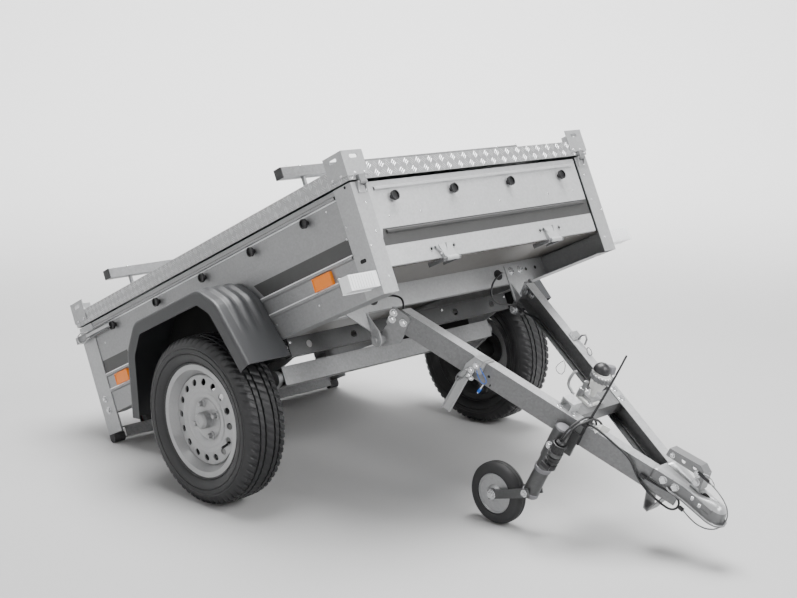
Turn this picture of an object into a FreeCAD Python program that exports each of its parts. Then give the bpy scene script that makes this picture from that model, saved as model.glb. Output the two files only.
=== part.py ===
"""Utility trailer: a small tipping box trailer with a hinged V drawbar, a lid and a jockey wheel.

The trailer stands with its box tipped back on its rear feet. Pieces of the box are drawn in the
box's own level frame, whose origin is the middle of the wheel axis, with X forwards and Z up.
Pieces of the drawbar are drawn in the drawbar's frame, whose origin is the middle of its hinge.
Each piece's Placement then stands it on the ground.
"""

import FreeCAD, Part
import Sketcher
import math
import os

PARTS_FOLDER = "parts"

SIZES = {
    # stance
    "origin_to_axle": (-240.97, "wheel axis, ahead of the origin"),
    "drawbar_droop": (27.15, "drawbar below level, degrees"),
    # wheels
    "tyre_radius": (267, "outside of the tyre"),
    "tyre_width": (155, "section width of the tyre"),
    "rim_seat": (166, "radius of the bead seat"),
    "rim_flange": (183, "radius of the rim's flange"),
    "rim_width": (114, "between the rim's flanges"),
    "rim_gauge": (4, "thickness of the rim and disc"),
    "wheel_out": (95, "middle of a tyre outside the box"),
    "disc_offset": (28, "disc's seat outside the middle of the rim"),
    "vent_circle": (121, "radius of the ring of vent holes"),
    "vent_radius": (11, "one vent hole"),
    "vent_count": (16, "vent holes"),
    "bolt_circle": (50, "radius of the wheel bolts' circle"),
    "bolt_hole": (7, "radius of a wheel bolt's hole"),
    "hub_radius": (33, "barrel of the hub"),
    "hub_flange": (66, "radius of the hub's flange"),
    "hub_flange_gauge": (10, "thickness of the hub's flange"),
    "hub_length": (88, "hub behind the disc"),
    "cap_radius": (27, "dust cap"),
    "cap_length": (34, "dust cap in front of the disc"),
    "stub_radius": (12.5, "stub axle"),
    "running_fit": (0.05, "radial clearance of a shaft in its bore"),
    # axle
    "axle_ahead": (165, "axle tube ahead of the wheel axis"),
    "axle_above": (57, "axle tube above the wheel axis"),
    "axle_size": (60, "square axle tube"),
    "axle_gauge": (5, "wall of the axle tube"),
    "axle_inset": (58, "end of the axle tube inside the box's side"),
    "arm_gauge": (18, "swing arm across"),
    "arm_depth": (50, "swing arm in height"),
    "plate_inset": (64, "outer face of an axle plate inside the box's side"),
    "axle_plate_gauge": (6, "axle plate"),
    "axle_plate_length": (143, "axle plate along the trailer"),
    # box
    "box_ahead": (792, "front face of the box"),
    "box_behind": (776, "rear face of the box"),
    "box_half": (548, "half width over the posts"),
    "side_bottom": (159, "lower edge of a side panel"),
    "side_top": (490, "upper edge of a side panel"),
    "sheet": (2, "thickness of the galvanised sheet"),
    "post_gauge": (3, "thickness of a corner post"),
    "front_post_side": (76, "side leaf of a front post"),
    "rear_post_side": (86, "side leaf of a rear post"),
    "post_end": (60, "end leaf of a post"),
    "panel_top_fold": (25, "fold along a panel's top"),
    "panel_bottom_fold": (70, "fold along a side panel's bottom"),
    "bead_depth": (6, "pressed bead, outwards"),
    "bead_height": (14, "pressed bead, upwards"),
    "bead_upper": (470, "middle of the upper bead"),
    "bead_middle": (291, "middle of the middle bead"),
    "bead_lower": (235, "middle of the lower bead"),
    "floor_under": (232, "underside of the floor"),
    "floor_gauge": (9, "thickness of the floor"),
    "front_beam_face": (478, "front face of the front cross-member"),
    "cross_depth": (32, "flanges of a cross-member"),
    "cross_gauge": (3, "thickness of a cross-member"),
    "middle_beam_face": (290, "front face of the middle cross-member"),
    "middle_beam_drop": (59, "middle cross-member below the side panels"),
    "outer_hole_inset": (116, "outer hole in the middle cross-member inside the box's side"),
    "inner_hole_inset": (306, "inner hole in the middle cross-member inside the box's side"),
    "beam_hole": (12, "radius of a hole in the middle cross-member"),
    "rear_beam_drop": (91, "underside of the rear beam below the side panels"),
    "rear_beam_height": (40, "height of the rear beam"),
    "rear_beam_depth": (34, "depth of the rear beam"),
    "foot_radius": (15, "rounding of a rear foot"),
    "foot_inset": (15, "middle of a rear foot ahead of the box's rear face"),
    "foot_up": (74, "middle of a rear foot above the wheel axis"),
    "foot_width": (46, "rear foot across"),
    # boards
    "board_bottom": (234, "lower edge of the front board and tailgate"),
    "board_depth": (22, "depth of a board"),
    "board_gap": (5, "gap at a board's ends"),
    "board_hinge_out": (9, "hinge axis outside a board's face"),
    "board_hinge_up": (226, "hinge axis of a board"),
    "knuckle_radius": (7, "knuckle of a hinge"),
    "knuckle_bore": (3.5, "hinge pin"),
    "knuckle_length": (50, "moving knuckle"),
    "knuckle_gap": (0.5, "between knuckles"),
    "board_hinge_at": (246, "board hinge from the middle"),
    # lid
    "lid_rim_bottom": (495, "lower edge of the lid's rim"),
    "lid_top": (546, "top of the lid"),
    "lid_overhang": (4, "lid outside the box"),
    "lid_gauge": (2, "thickness of the lid"),
    "lid_round": (1.5, "rounding of the lid's top edges"),
    "lid_hinge_up": (486, "hinge axis of the lid"),
    "lid_hinge_out": (10, "lid's hinge axis ahead of the box"),
    "lid_hinge_inset": (38, "lid hinge inside the box's side"),
    "lug_leaf": (80, "leaf of a lid lug"),
    "lug_bottom": (508, "lower edge of a lid lug"),
    "lug_top": (583, "top of a lid lug"),
    "lug_gauge": (3, "thickness of a lid lug"),
    "lug_hole_drop": (18, "lug's hole below its top"),
    "lug_hole_half": (10, "half the straight of a lug's hole"),
    "lug_hole_radius": (6, "rounding of a lug's hole"),
    "bar_at": (510, "crossbar ahead of and behind the wheel axis"),
    "bar_middle": (617, "middle of a crossbar"),
    "bar_size": (32, "square crossbar"),
    "bar_inset": (3, "end of a crossbar inside the box's side"),
    "bar_post_inset": (90, "crossbar's post from its end"),
    "bar_post_radius": (7, "crossbar's post"),
    # mudguard
    "guard_seat": (3, "inner edge of a mudguard outside the posts"),
    "guard_over": (77, "mudguard outside the middle of the tyre"),
    "board_seat": (3, "board below the posts' top"),
    "guard_gauge": (3, "thickness of a mudguard"),
    "guard_top": (378, "top of a mudguard"),
    "guard_lip": (45, "outer flange of a mudguard"),
    # lamps
    "lamp_height": (46, "front position lamp"),
    "lamp_length": (110, "front position lamp across the trailer"),
    "lamp_depth": (44, "front position lamp along the trailer"),
    "lamp_middle": (207, "middle of a front position lamp"),
    # drawbar
    "hinge_ahead": (491, "drawbar hinge ahead of the wheel axis"),
    "hinge_above": (71, "drawbar hinge above the wheel axis"),
    "hinge_pin": (8, "drawbar hinge pin"),
    "hinge_bush": (18, "bush round the drawbar hinge pin"),
    "hinge_plate_gauge": (5, "hinge plate and bracket"),
    "hinge_plate_at": (342, "inner face of a hinge plate's tongue from the middle"),
    "hinge_plate_inner": (336, "inner edge of a hinge plate's face"),
    "hinge_plate_width": (96, "hinge plate's face"),
    "beam_top": (125, "top of a drawbar beam above the hinge"),
    "beam_height": (69, "height of a drawbar beam"),
    "beam_flange": (36, "flange of a drawbar beam"),
    "beam_gauge": (4, "thickness of a drawbar beam"),
    "beam_rear": (21, "rear end of a beam ahead of the hinge"),
    "beam_front": (952, "front end of a beam ahead of the hinge"),
    "beam_spread": (319.4, "outside of a beam from the middle, at the hinge"),
    "beam_angle": (17.01, "beam from straight ahead, degrees"),
    "tie_front": (600, "front edge of the drawbar's cross-member"),
    "tie_depth": (62, "drawbar's cross-member along the trailer"),
    "tie_height": (40, "drawbar's cross-member in height"),
    "coupling_rear": (860, "rear end of the coupling"),
    "ball_at": (1055, "middle of the ball socket"),
    "ball_drop": (12, "middle of the ball socket below the beams' top"),
    "ball_radius": (25, "ball that the coupling takes"),
    "socket_wall": (6, "wall round the ball"),
    "jack_at": (556, "jack ahead of the hinge"),
    "jack_can": (28, "radius of the jack's can"),
    "jack_stem": (10, "radius of the jack's stem"),
    "jack_dome": (26, "radius of the dome on the jack"),
    "coupling_gauge": (5, "pressed steel of the coupling"),
    "coupling_neck": (32, "half width of the coupling ahead of the beams"),
    "coupling_skirt": (26, "coupling's sides below the beams' top"),
    "handle_half": (17, "half width of the coupling's handle"),
    "handle_gauge": (3, "sheet of the coupling's handle"),
    "skid_half": (26, "half width of the strap foot"),
    "skid_gauge": (4, "thickness of the strap foot"),
    "plug_ahead": (32, "plug ahead of the jockey leg"),
    "plug_out": (36, "plug outside the jockey leg"),
    "plug_radius": (19, "body of the plug"),
    "plug_low": (-11, "lower end of the plug"),
    "plug_high": (84, "top of the plug's body"),
    "grommet_lip": (3, "lip of a grommet ahead of the cross-member"),
    "left_clip": (60, "rear face of the clip under the left beam"),
    "right_clip": (34, "rear face of the clip inside the right beam"),
    "right_clip_up": (104, "lead in the right beam's clip above the hinge"),
    "joint_rear": (640, "rear face of the joint box in the right beam"),
    "joint_front": (690, "front face of the joint box in the right beam"),
    "band_at": (638, "rear edge of the band over the right beam"),
    "lead_radius": (3.3, "radius of an electric lead"),
    "wire_radius": (2, "radius of the breakaway wire"),
    "string_radius": (1.2, "radius of the lanyard on the clasp"),
    "grommet_at": (297, "grommet from the middle"),
    "grommet_up": (197, "grommet above the wheel axis"),
    "grommet_radius": (14, "radius of a grommet"),
    "knob_up": (443, "tie-down knob above the wheel axis"),
    "knob_radius": (15, "tie-down knob"),
    "knob_depth": (19, "tie-down knob outside the sheet"),
    "reflector_length": (85, "side reflector"),
    "reflector_height": (40, "side reflector"),
    "reflector_front": (227, "middle of a front side reflector behind the box's front face"),
    "reflector_rear": (191, "middle of a rear side reflector ahead of the box's rear face"),
    "reflector_up": (263, "side reflector above the wheel axis"),
    # jockey wheel
    "leg_at": (607, "jockey leg ahead of the hinge"),
    "leg_out": (168, "jockey leg from the middle"),
    "leg_radius": (24, "jockey leg"),
    "leg_bottom": (-160, "lower end of the jockey leg"),
    "leg_top": (88, "upper end of the jockey leg"),
    "clamp_radius": (27, "clamp round the jockey leg"),
    "clamp_top": (99, "top of the jockey clamp"),
    "clamp_height": (108, "height of the jockey clamp"),
    "fork_length": (130, "jockey fork, pivot to wheel"),
    "fork_pivot": (-146, "jockey fork's pivot"),
    "fork_half": (29, "inside of a fork arm from the leg's middle"),
    "fork_gauge": (5, "thickness of a fork arm"),
    "jockey_radius": (96, "jockey tyre"),
    "jockey_width": (46, "jockey tyre across"),
    "jockey_rim": (62, "jockey rim"),
    "jockey_axle": (8, "jockey wheel's axle"),
}
ANGLES = ("drawbar_droop", "beam_angle")


class Size:
    """A length or angle: its value, and the spreadsheet expression that it follows."""

    def __init__(self, value, text):
        self.value = float(value)
        self.text = text

    @staticmethod
    def of(thing):
        return thing if isinstance(thing, Size) else Size(thing, repr(thing))

    def __add__(self, other):
        other = Size.of(other)
        return Size(self.value + other.value, f"({self.text} + {other.text})")

    def __radd__(self, other):
        return Size.of(other) + self

    def __sub__(self, other):
        other = Size.of(other)
        return Size(self.value - other.value, f"({self.text} - {other.text})")

    def __rsub__(self, other):
        return Size.of(other) - self

    def __mul__(self, other):
        other = Size.of(other)
        return Size(self.value * other.value, f"({self.text} * {other.text})")

    def __rmul__(self, other):
        return Size.of(other) * self

    def __truediv__(self, other):
        other = Size.of(other)
        return Size(self.value / other.value, f"({self.text} / {other.text})")

    def __neg__(self):
        return Size(-self.value, f"(-1 * {self.text})")


def sine(angle):
    return Size(math.sin(math.radians(angle.value)), f"sin({angle.text})")


def cosine(angle):
    return Size(math.cos(math.radians(angle.value)), f"cos({angle.text})")


def tangent(angle):
    return Size(math.tan(math.radians(angle.value)), f"tan({angle.text})")


def arcsine(ratio):
    return Size(math.degrees(math.asin(ratio.value)), f"asin({ratio.text})")


def arctangent(ratio):
    return Size(math.degrees(math.atan(ratio.value)), f"atan({ratio.text})")


def root(number):
    return Size(math.sqrt(number.value), f"sqrt({number.text})")


doc = FreeCAD.newDocument("utility_trailer")


def fill_sheet():
    """Write every driving dimension into the spreadsheet and return them by name."""
    sheet = doc.addObject("Spreadsheet::Sheet", "Sizes")
    sizes = {}
    for row, (name, (value, note)) in enumerate(SIZES.items(), start=1):
        sheet.set(f"A{row}", name)
        sheet.set(f"B{row}", str(value))
        sheet.set(f"C{row}", note)
        sheet.setAlias(f"B{row}", name)
        text = f"(Sizes.{name} * 1 deg)" if name in ANGLES else f"Sizes.{name}"
        sizes[name] = Size(value, text)
    doc.recompute()
    return sizes


class Named:
    """The driving dimensions as attributes."""

    def __init__(self, sizes):
        self.__dict__.update(sizes)


d = Named(fill_sheet())

# Pieces that keep their distance from the box's side when its width changes
d.track_half = d.box_half + d.wheel_out
d.foot_back = d.box_behind - d.foot_inset
d.axle_half = d.box_half - d.axle_inset
d.axle_plate_inset = d.box_half - d.plate_inset
d.guard_inner = d.box_half + d.guard_seat
d.guard_outer = d.track_half + d.guard_over
d.bar_half = d.box_half - d.bar_inset
d.bar_post_at = d.bar_half - d.bar_post_inset
d.lamp_reach = d.box_half + d.lamp_length
d.lid_hinge_at = d.box_half - d.lid_hinge_inset

# The box tips until its rear feet touch the ground
foot_reach = root(d.foot_back * d.foot_back + d.foot_up * d.foot_up)
TIP = arcsine((d.tyre_radius - d.foot_radius) / foot_reach) + arctangent(d.foot_up / d.foot_back)


class Frame:
    """Where a group of pieces stands: its origin in X and Z, and its pitch about Y in degrees."""

    def __init__(self, x, z, pitch):
        self.x = Size.of(x)
        self.z = Size.of(z)
        self.pitch = Size.of(pitch)

    def point(self, along, up):
        """The place in the world of a point given in this frame."""
        x = self.x + along * cosine(self.pitch) + up * sine(self.pitch)
        z = self.z - along * sine(self.pitch) + up * cosine(self.pitch)
        return x, z

    def place(self, along, out, up):
        """The same as a plain vector of the world."""
        x, z = self.point(Size.of(along), Size.of(up))
        return FreeCAD.Vector(x.value, Size.of(out).value, z.value)

    def hold(self, piece):
        """Bind a piece's Placement to this frame."""
        turn = FreeCAD.Rotation(FreeCAD.Vector(0, 1, 0), self.pitch.value)
        piece.Placement = FreeCAD.Placement(FreeCAD.Vector(self.x.value, 0, self.z.value), turn)
        piece.setExpression("Placement.Base.x", self.x.text)
        piece.setExpression("Placement.Base.z", self.z.text)
        piece.setExpression("Placement.Rotation.Angle", self.pitch.text)


BOX = Frame(d.origin_to_axle, d.tyre_radius, -TIP)
DRAWBAR = Frame(*BOX.point(d.hinge_ahead, d.hinge_above), d.drawbar_droop)
fork_pivot_height = DRAWBAR.point(d.leg_at, d.fork_pivot)[1]
FORK = Frame(
    *DRAWBAR.point(d.leg_at, d.fork_pivot),
    -arcsine((fork_pivot_height - d.jockey_radius) / d.fork_length),
)
PLANES = {"XY": "XY_Plane", "XZ": "XZ_Plane", "YZ": "YZ_Plane"}


class Piece:
    """One sub-part: a PartDesign body with sketches bound to the spreadsheet."""

    made = []

    def __init__(self, name, frame):
        self.body = doc.addObject("PartDesign::Body", name)
        self.body.Label = name
        self.body.AllowCompound = True
        self.name = name
        frame.hold(self.body)
        Piece.made.append(self)

    def sketch(self, plane, level):
        """A sketch on an origin plane, moved along the plane's axis to a level."""
        role = PLANES[plane]
        origin = next(f for f in self.body.Origin.OriginFeatures if f.Role == role)
        drawn = self.body.newObject("Sketcher::SketchObject", f"{self.name}_sketch")
        drawn.AttachmentSupport = [(origin, "")]
        drawn.MapMode = "FlatFace"
        level = Size.of(level)
        level = -level if plane == "XZ" else level
        drawn.AttachmentOffset = FreeCAD.Placement(
            FreeCAD.Vector(0, 0, level.value), FreeCAD.Rotation()
        )
        drawn.setExpression("AttachmentOffset.Base.z", level.text)
        return drawn

    def place(self, drawn, index, end, point):
        """Hold a sketch point at a place given by two sizes."""
        for kind, size in zip(("DistanceX", "DistanceY"), point):
            size = Size.of(size)
            row = drawn.addConstraint(Sketcher.Constraint(kind, -1, 1, index, end, size.value))
            drawn.setExpression(f"Constraints[{row}]", size.text)

    def outline(self, drawn, points):
        """A closed outline through the given points."""
        spots = [FreeCAD.Vector(Size.of(x).value, Size.of(y).value, 0) for x, y in points]
        first = drawn.GeometryCount
        for here, there in zip(spots, spots[1:] + spots[:1]):
            drawn.addGeometry(Part.LineSegment(here, there), False)
        count = len(points)
        for step in range(count):
            follower = first + (step + 1) % count
            drawn.addConstraint(Sketcher.Constraint("Coincident", first + step, 2, follower, 1))
            self.place(drawn, first + step, 1, points[step])

    def circle(self, drawn, centre, radius):
        """A circle held at its centre and bound in its radius."""
        radius = Size.of(radius)
        spot = FreeCAD.Vector(Size.of(centre[0]).value, Size.of(centre[1]).value, 0)
        ring = Part.Circle(spot, FreeCAD.Vector(0, 0, 1), radius.value)
        index = drawn.addGeometry(ring, False)
        row = drawn.addConstraint(Sketcher.Constraint("Radius", index, radius.value))
        drawn.setExpression(f"Constraints[{row}]", radius.text)
        self.place(drawn, index, 3, centre)

    def slot(self, drawn, centre, half, radius):
        """An oval: two arcs a distance apart along the sketch's X, joined by straight lines."""
        x, y = (Size.of(v).value for v in centre)
        reach = Size.of(half).value
        round_end = Size.of(radius).value
        right = Part.ArcOfCircle(
            Part.Circle(FreeCAD.Vector(x + reach, y, 0), FreeCAD.Vector(0, 0, 1), round_end),
            -math.pi / 2,
            math.pi / 2,
        )
        left = Part.ArcOfCircle(
            Part.Circle(FreeCAD.Vector(x - reach, y, 0), FreeCAD.Vector(0, 0, 1), round_end),
            math.pi / 2,
            3 * math.pi / 2,
        )
        top = Part.LineSegment(
            FreeCAD.Vector(x + reach, y + round_end, 0), FreeCAD.Vector(x - reach, y + round_end, 0)
        )
        low = Part.LineSegment(
            FreeCAD.Vector(x - reach, y - round_end, 0), FreeCAD.Vector(x + reach, y - round_end, 0)
        )
        first = drawn.GeometryCount
        for line in (right, top, left, low):
            drawn.addGeometry(line, False)
        for here, start, there, end in ((0, 2, 1, 1), (1, 2, 2, 1), (2, 2, 3, 1), (3, 2, 0, 1)):
            joint = Sketcher.Constraint("Tangent", first + here, start, first + there, end)
            drawn.addConstraint(joint)
        self.place(drawn, first, 3, (centre[0] + half, centre[1]))
        self.place(drawn, first + 2, 3, (centre[0] - half, centre[1]))
        row = drawn.addConstraint(Sketcher.Constraint("Radius", first, round_end))
        drawn.setExpression(f"Constraints[{row}]", Size.of(radius).text)

    def shape(self, drawn, outlines):
        for drawing in outlines:
            if isinstance(drawing, list):
                self.outline(drawn, drawing)
            elif len(drawing) == 4:
                self.slot(drawn, drawing[:2], drawing[2], drawing[3])
            else:
                self.circle(drawn, drawing[:2], drawing[2])

    def ball(self, kind, centre, radius):
        """Add or cut a sphere whose centre is given in the piece's frame."""
        solid = self.body.newObject(f"PartDesign::{kind}Sphere", f"{self.name}_{kind.lower()}")
        radius = Size.of(radius)
        solid.Radius = radius.value
        solid.setExpression("Radius", radius.text)
        origin = next(f for f in self.body.Origin.OriginFeatures if f.Role == "XY_Plane")
        solid.AttachmentSupport = [(origin, "")]
        solid.MapMode = "FlatFace"
        for axis, size in zip("xyz", centre):
            size = Size.of(size)
            solid.setExpression(f"AttachmentOffset.Base.{axis}", size.text)
        return solid

    def round_edges(self, radius, chosen):
        """Round the edges of the piece so far that a test on an edge picks."""
        doc.recompute()
        last = self.body.Tip
        edges = last.Shape.Edges
        names = [f"Edge{i}" for i, edge in enumerate(edges, start=1) if chosen(edge)]
        if not names:
            raise RuntimeError(f"{self.name} has no such edges to round")
        rounding = self.body.newObject("PartDesign::Fillet", f"{self.name}_fillet")
        rounding.Base = (last, names)
        radius = Size.of(radius)
        rounding.Radius = radius.value
        rounding.setExpression("Radius", radius.text)
        return rounding

    def extrude(self, kind, plane, low, high, outlines):
        """Pad or pocket outlines between two levels along the plane's axis."""
        low, high = Size.of(low), Size.of(high)
        drawn = self.sketch(plane, high)
        self.shape(drawn, outlines)
        feature = self.body.newObject(f"PartDesign::{kind}", f"{self.name}_{kind.lower()}")
        feature.Profile = drawn
        depth = high - low
        feature.Length = depth.value
        feature.setExpression("Length", depth.text)
        backwards = plane == "XZ" if kind == "Pocket" else plane != "XZ"
        feature.Reversed = backwards
        drawn.Visibility = False
        return feature

    def pad(self, plane, low, high, *outlines):
        return self.extrude("Pad", plane, low, high, outlines)

    def pocket(self, plane, low, high, *outlines):
        return self.extrude("Pocket", plane, low, high, outlines)

    def revolve(self, plane, level, *outlines, axis="H_Axis", kind="Revolution"):
        """Turn outlines once round a sketch axis, to add or (as a Groove) to cut."""
        drawn = self.sketch(plane, level)
        self.shape(drawn, outlines)
        feature = self.body.newObject(f"PartDesign::{kind}", f"{self.name}_{kind.lower()}")
        feature.Profile = drawn
        feature.ReferenceAxis = (drawn, [axis])
        feature.Angle = 360
        return feature

    def ring_of(self, feature, count, axis):
        """Repeat a feature round an origin axis."""
        doc.recompute()
        origin = next(f for f in self.body.Origin.OriginFeatures if f.Role == axis)
        ring = self.body.newObject("PartDesign::PolarPattern", f"{self.name}_ring")
        ring.Originals = [feature]
        ring.Axis = (origin, [""])
        ring.Angle = 360
        ring.Occurrences = int(count.value)
        ring.setExpression("Occurrences", count.text)
        self.body.Tip = ring
        return ring


def across(side, inner, outer):
    """Levels along Y, low then high, for a span on the right (-1) or the left (1)."""
    inner, outer = Size.of(inner), Size.of(outer)
    return (inner, outer) if side > 0 else (-outer, -inner)


def sorted_pair(one, other):
    """Two levels, low then high."""
    one, other = Size.of(one), Size.of(other)
    return (one, other) if one.value < other.value else (other, one)


def rectangle(x_low, x_high, y_low, y_high):
    return [(x_low, y_low), (x_high, y_low), (x_high, y_high), (x_low, y_high)]


SIDES = {"right": -1, "left": 1}
ENDS = {"front": 1, "rear": -1}


def make_floor():
    floor = Piece("floor", BOX)
    half = d.box_half - d.post_gauge - d.sheet
    outline = rectangle(
        -(d.box_behind - d.board_depth - d.board_gap),
        d.box_ahead - d.board_depth - d.board_gap,
        -half,
        half,
    )
    floor.pad("XY", d.floor_under, d.floor_under + d.floor_gauge, outline)


def bead_outlines(face, outwards, heights, inset):
    """Sections of pressed beads on a face, drawn inset by the sheet's thickness or not at all."""
    base = face - outwards * inset
    tip = base + outwards * d.bead_depth
    return [
        [
            (base, height + d.bead_height / 2),
            (tip, height + d.bead_height / 5),
            (tip, height - d.bead_height / 5),
            (base, height - d.bead_height / 2),
        ]
        for height in heights
    ]


def make_side_panels():
    """Folded sheet with three pressed beads, a fold at the top and a wider one at the bottom."""
    for name, side in SIDES.items():
        panel = Piece(f"side_panel_{name}", BOX)
        face = side * (d.box_half - d.post_gauge)
        back = face - side * d.sheet
        top_fold = face - side * d.panel_top_fold
        bottom_fold = face - side * d.panel_bottom_fold
        profile = [
            (face, d.side_top),
            (face, d.side_bottom),
            (bottom_fold, d.side_bottom),
            (bottom_fold, d.side_bottom + d.sheet),
            (back, d.side_bottom + d.sheet),
            (back, d.side_top - d.sheet),
            (top_fold, d.side_top - d.sheet),
            (top_fold, d.side_top),
        ]
        rear = -(d.box_behind - d.board_depth - d.board_gap)
        front = d.box_ahead - d.board_depth - d.board_gap
        panel.pad("YZ", rear, front, profile)
        bead_rear = -(d.box_behind - d.rear_post_side - d.board_gap)
        bead_front = d.box_ahead - d.front_post_side - d.board_gap
        heights = (d.bead_upper, d.bead_middle, d.bead_lower)
        panel.pad("YZ", bead_rear, bead_front, *bead_outlines(face, side, heights, 0))
        panel.pocket("YZ", bead_rear, bead_front, *bead_outlines(face, side, heights, d.sheet))


def make_posts():
    """Angle posts at the corners; the rear ones reach down to the feet."""
    for end_name, end in ENDS.items():
        posts = Piece(f"posts_{end_name}", BOX)
        edge = d.box_ahead if end > 0 else -d.box_behind
        leaf = d.front_post_side if end > 0 else d.rear_post_side
        bottom = d.side_bottom if end > 0 else d.foot_up + d.foot_radius
        for side in SIDES.values():
            outline = [
                (edge, side * d.box_half),
                (edge - end * leaf, side * d.box_half),
                (edge - end * leaf, side * (d.box_half - d.post_gauge)),
                (edge - end * d.post_gauge, side * (d.box_half - d.post_gauge)),
                (edge - end * d.post_gauge, side * (d.box_half - d.post_end)),
                (edge, side * (d.box_half - d.post_end)),
            ]
            posts.pad("XY", bottom, d.side_top, outline)


def channel(face, rear, low, high, gauge):
    """A channel open to the rear, in XZ."""
    return [
        (face, low),
        (face, high),
        (rear, high),
        (rear, high - gauge),
        (face - gauge, high - gauge),
        (face - gauge, low + gauge),
        (rear, low + gauge),
        (rear, low),
    ]


def make_cross_members():
    """Channels across the box: front, middle with its round holes, and rear."""
    inner = d.box_half - d.post_gauge - d.sheet
    front = Piece("cross_member_front", BOX)
    profile = channel(
        d.front_beam_face,
        d.front_beam_face - d.cross_depth,
        d.side_bottom + d.sheet,
        d.floor_under,
        d.cross_gauge,
    )
    front.pad("XZ", -inner, inner, profile)
    holes = [(side * d.grommet_at, d.grommet_up, d.grommet_radius) for side in SIDES.values()]
    web = (d.front_beam_face - d.cross_gauge, d.front_beam_face)
    front.pocket("YZ", *web, *holes)
    middle = Piece("cross_member_middle", BOX)
    profile = channel(
        d.middle_beam_face,
        d.middle_beam_face - d.cross_depth,
        d.side_bottom - d.middle_beam_drop,
        d.side_bottom,
        d.cross_gauge,
    )
    half = d.box_half - d.cross_depth
    middle.pad("XZ", -half, half, profile)
    level = d.side_bottom - d.middle_beam_drop / 2
    insets = (d.outer_hole_inset, d.inner_hole_inset)
    spots = [side * (d.box_half - inset) for side in SIDES.values() for inset in insets]
    holes = [(at, level, d.beam_hole) for at in spots]
    web = (d.middle_beam_face - d.cross_gauge, d.middle_beam_face)
    middle.pocket("YZ", *web, *holes)
    rear = Piece("rear_beam", BOX)
    back = -d.box_behind + d.post_gauge
    low = d.side_bottom - d.rear_beam_drop
    profile = channel(
        back + d.rear_beam_depth, back, low, low + d.rear_beam_height, d.cross_gauge
    )
    half = d.box_half - d.foot_width - d.post_gauge
    rear.pad("XZ", -half, half, profile)


def make_feet():
    """Rubber feet under the rear posts, rounded where they meet the ground."""
    feet = Piece("rear_feet", BOX)
    for side in SIDES.values():
        low, high = across(side, d.box_half - d.foot_width, d.box_half)
        feet.pad("XZ", low, high, (-d.foot_back, d.foot_up, d.foot_radius))
        block = rectangle(
            -d.foot_back - d.foot_radius,
            -d.foot_back + d.foot_radius,
            d.foot_up,
            d.foot_up + d.foot_radius,
        )
        feet.pad("XZ", low, high, block)


def make_axle():
    """Square tube hung on two plates, and the swing arms with their stub axles."""
    axle = Piece("axle", BOX)
    half = d.axle_size / 2
    wall = half - d.axle_gauge
    at, up = d.axle_ahead, d.axle_above
    axle.pad(
        "XZ",
        -d.axle_half,
        d.axle_half,
        rectangle(at - half, at + half, up - half, up + half),
        rectangle(at - wall, at + wall, up - wall, up + wall),
    )
    for side in SIDES.values():
        low, high = across(side, d.axle_plate_inset - d.axle_plate_gauge, d.axle_plate_inset)
        back = at - half - 20
        front = back + d.axle_plate_length
        outline = [
            (back, up + half),
            (back + 10, d.side_bottom),
            (front, d.side_bottom),
            (front, up + half + 14),
            (at + half, up + half),
        ]
        axle.pad("XZ", low, high, outline)
    arms = Piece("swing_arms", BOX)
    eye = d.arm_depth / 2
    slope = arctangent(up / at)
    rise = eye * cosine(slope)
    run = eye * sine(slope)
    for side in SIDES.values():
        low, high = across(side, d.axle_half, d.axle_half + d.arm_gauge)
        outline = [
            (run, -rise),
            (at + run, up - rise),
            (at - run, up + rise),
            (-run, rise),
        ]
        arms.pad("XZ", low, high, outline)
        arms.pad("XZ", low, high, (0, 0, eye))
        arms.pad("XZ", low, high, (at, up, eye))
        stub_end = d.track_half + d.disc_offset - d.rim_gauge
        low, high = across(side, d.axle_half, stub_end)
        arms.pad("XZ", low, high, (0, 0, d.stub_radius))


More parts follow.
